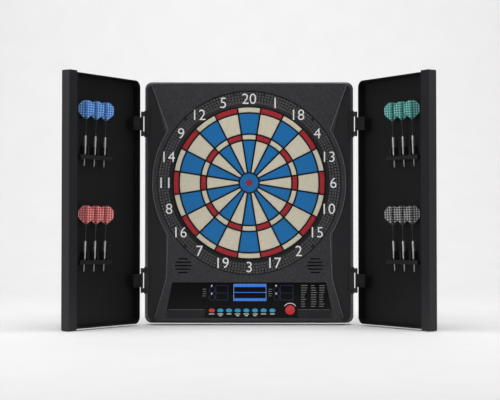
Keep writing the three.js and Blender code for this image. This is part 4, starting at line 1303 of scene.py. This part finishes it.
class CABINET_OT_stage(bpy.types.Operator):
    """Pale floor that curves up into a backdrop, soft lights and the camera"""

    bl_idname = "cabinet.stage"
    bl_label = "Stage"

    def execute(self, context):
        scene = bpy.context.scene
        floor = CAD_BOX[0][2] / MM - 1
        sweep = Build("paper")
        path = [(SWEEP_FRONT, floor), (0, floor), (SWEEP_BACK, floor)]
        path += [(SWEEP_BACK + SWEEP_BEND * math.sin(a), floor + SWEEP_BEND * (1 - math.cos(a)))
                 for a in (math.radians(5 * k) for k in range(1, 19))]
        path.append((SWEEP_BACK + SWEEP_BEND, SWEEP_TOP))
        vertices = [(x, y, z) for x in (-SWEEP_HALF, SWEEP_HALF) for y, z in path]
        count = len(path)
        sweep.add(vertices, [[i, i + 1, count + i + 1, count + i] for i in range(count - 1)])
        sweep.piece("studio_sweep", angle=60)

        for name, place, aim, size, power in LIGHTS:
            light = bpy.data.lights.new(name, "AREA")
            light.shape = "RECTANGLE"
            light.size, light.size_y = size
            light.energy = power
            holder = bpy.data.objects.new(name, light)
            scene.collection.objects.link(holder)
            holder.location = place
            holder.rotation_euler = (aim - holder.location).to_track_quat("-Z", "Y").to_euler()

        world = scene.world or bpy.data.worlds.new("studio_world")
        scene.world = world
        world.use_nodes = True
        tree = world.node_tree
        background = tree.nodes["Background"]
        background.inputs["Color"].default_value = linear("#F6F6F6")
        # The room past the paper is as pale as the paper, and lights the cabinet only faintly.
        ray = add_node(tree, "ShaderNodeLightPath")
        strength = add_node(tree, "ShaderNodeMapRange", {"To Min": 0.16, "To Max": 1.0},
                            {"Value": ray.outputs["Is Camera Ray"]})
        tree.links.new(strength.outputs["Result"], background.inputs["Strength"])
        scene.view_settings.view_transform = "Standard"

        camera = bpy.data.cameras.new("camera")
        camera.lens = CAMERA_LENS
        camera.sensor_width = 36
        camera.clip_end = 100
        holder = bpy.data.objects.new("camera", camera)
        scene.collection.objects.link(holder)
        holder.location = CAMERA_AT
        holder.rotation_euler = (math.radians(CAMERA_TILT), 0, 0)
        scene.camera = holder
        return {"FINISHED"}


OPERATORS = (CABINET_OT_case, CABINET_OT_number_ring, CABINET_OT_spider, CABINET_OT_segments,
             CABINET_OT_bulls, CABINET_OT_works, CABINET_OT_panel, CABINET_OT_buttons, CABINET_OT_hinges,
             CABINET_OT_doors, CABINET_OT_racks, CABINET_OT_darts, CABINET_OT_stage)


class CABINET_PT_pieces(bpy.types.Panel):
    """Lists the colours, sizes and pieces"""

    bl_idname = "CABINET_PT_pieces"
    bl_label = "Dart Board Cabinet"
    bl_space_type = "VIEW_3D"
    bl_region_type = "UI"
    bl_category = "Dart Board"

    def draw(self, context):
        for group, kind in GROUPS.items():
            box = self.layout.box()
            for name in kind.__annotations__:
                box.prop(getattr(context.scene, group), name)
        for operator in OPERATORS:
            self.layout.operator(operator.bl_idname)


def register():
    for kind in (*GROUPS.values(), *OPERATORS, CABINET_PT_pieces):
        bpy.utils.register_class(kind)
    for group, kind in GROUPS.items():
        setattr(bpy.types.Scene, group, PointerProperty(type=kind))


def unregister():
    for group in GROUPS:
        delattr(bpy.types.Scene, group)
    for kind in (CABINET_PT_pieces, *reversed(OPERATORS), *reversed(GROUPS.values())):
        bpy.utils.unregister_class(kind)


def main():
    register()
    for operator in OPERATORS:
        getattr(bpy.ops.cabinet, operator.bl_idname.split(".")[1])()


if __name__ == "__main__":
    main()
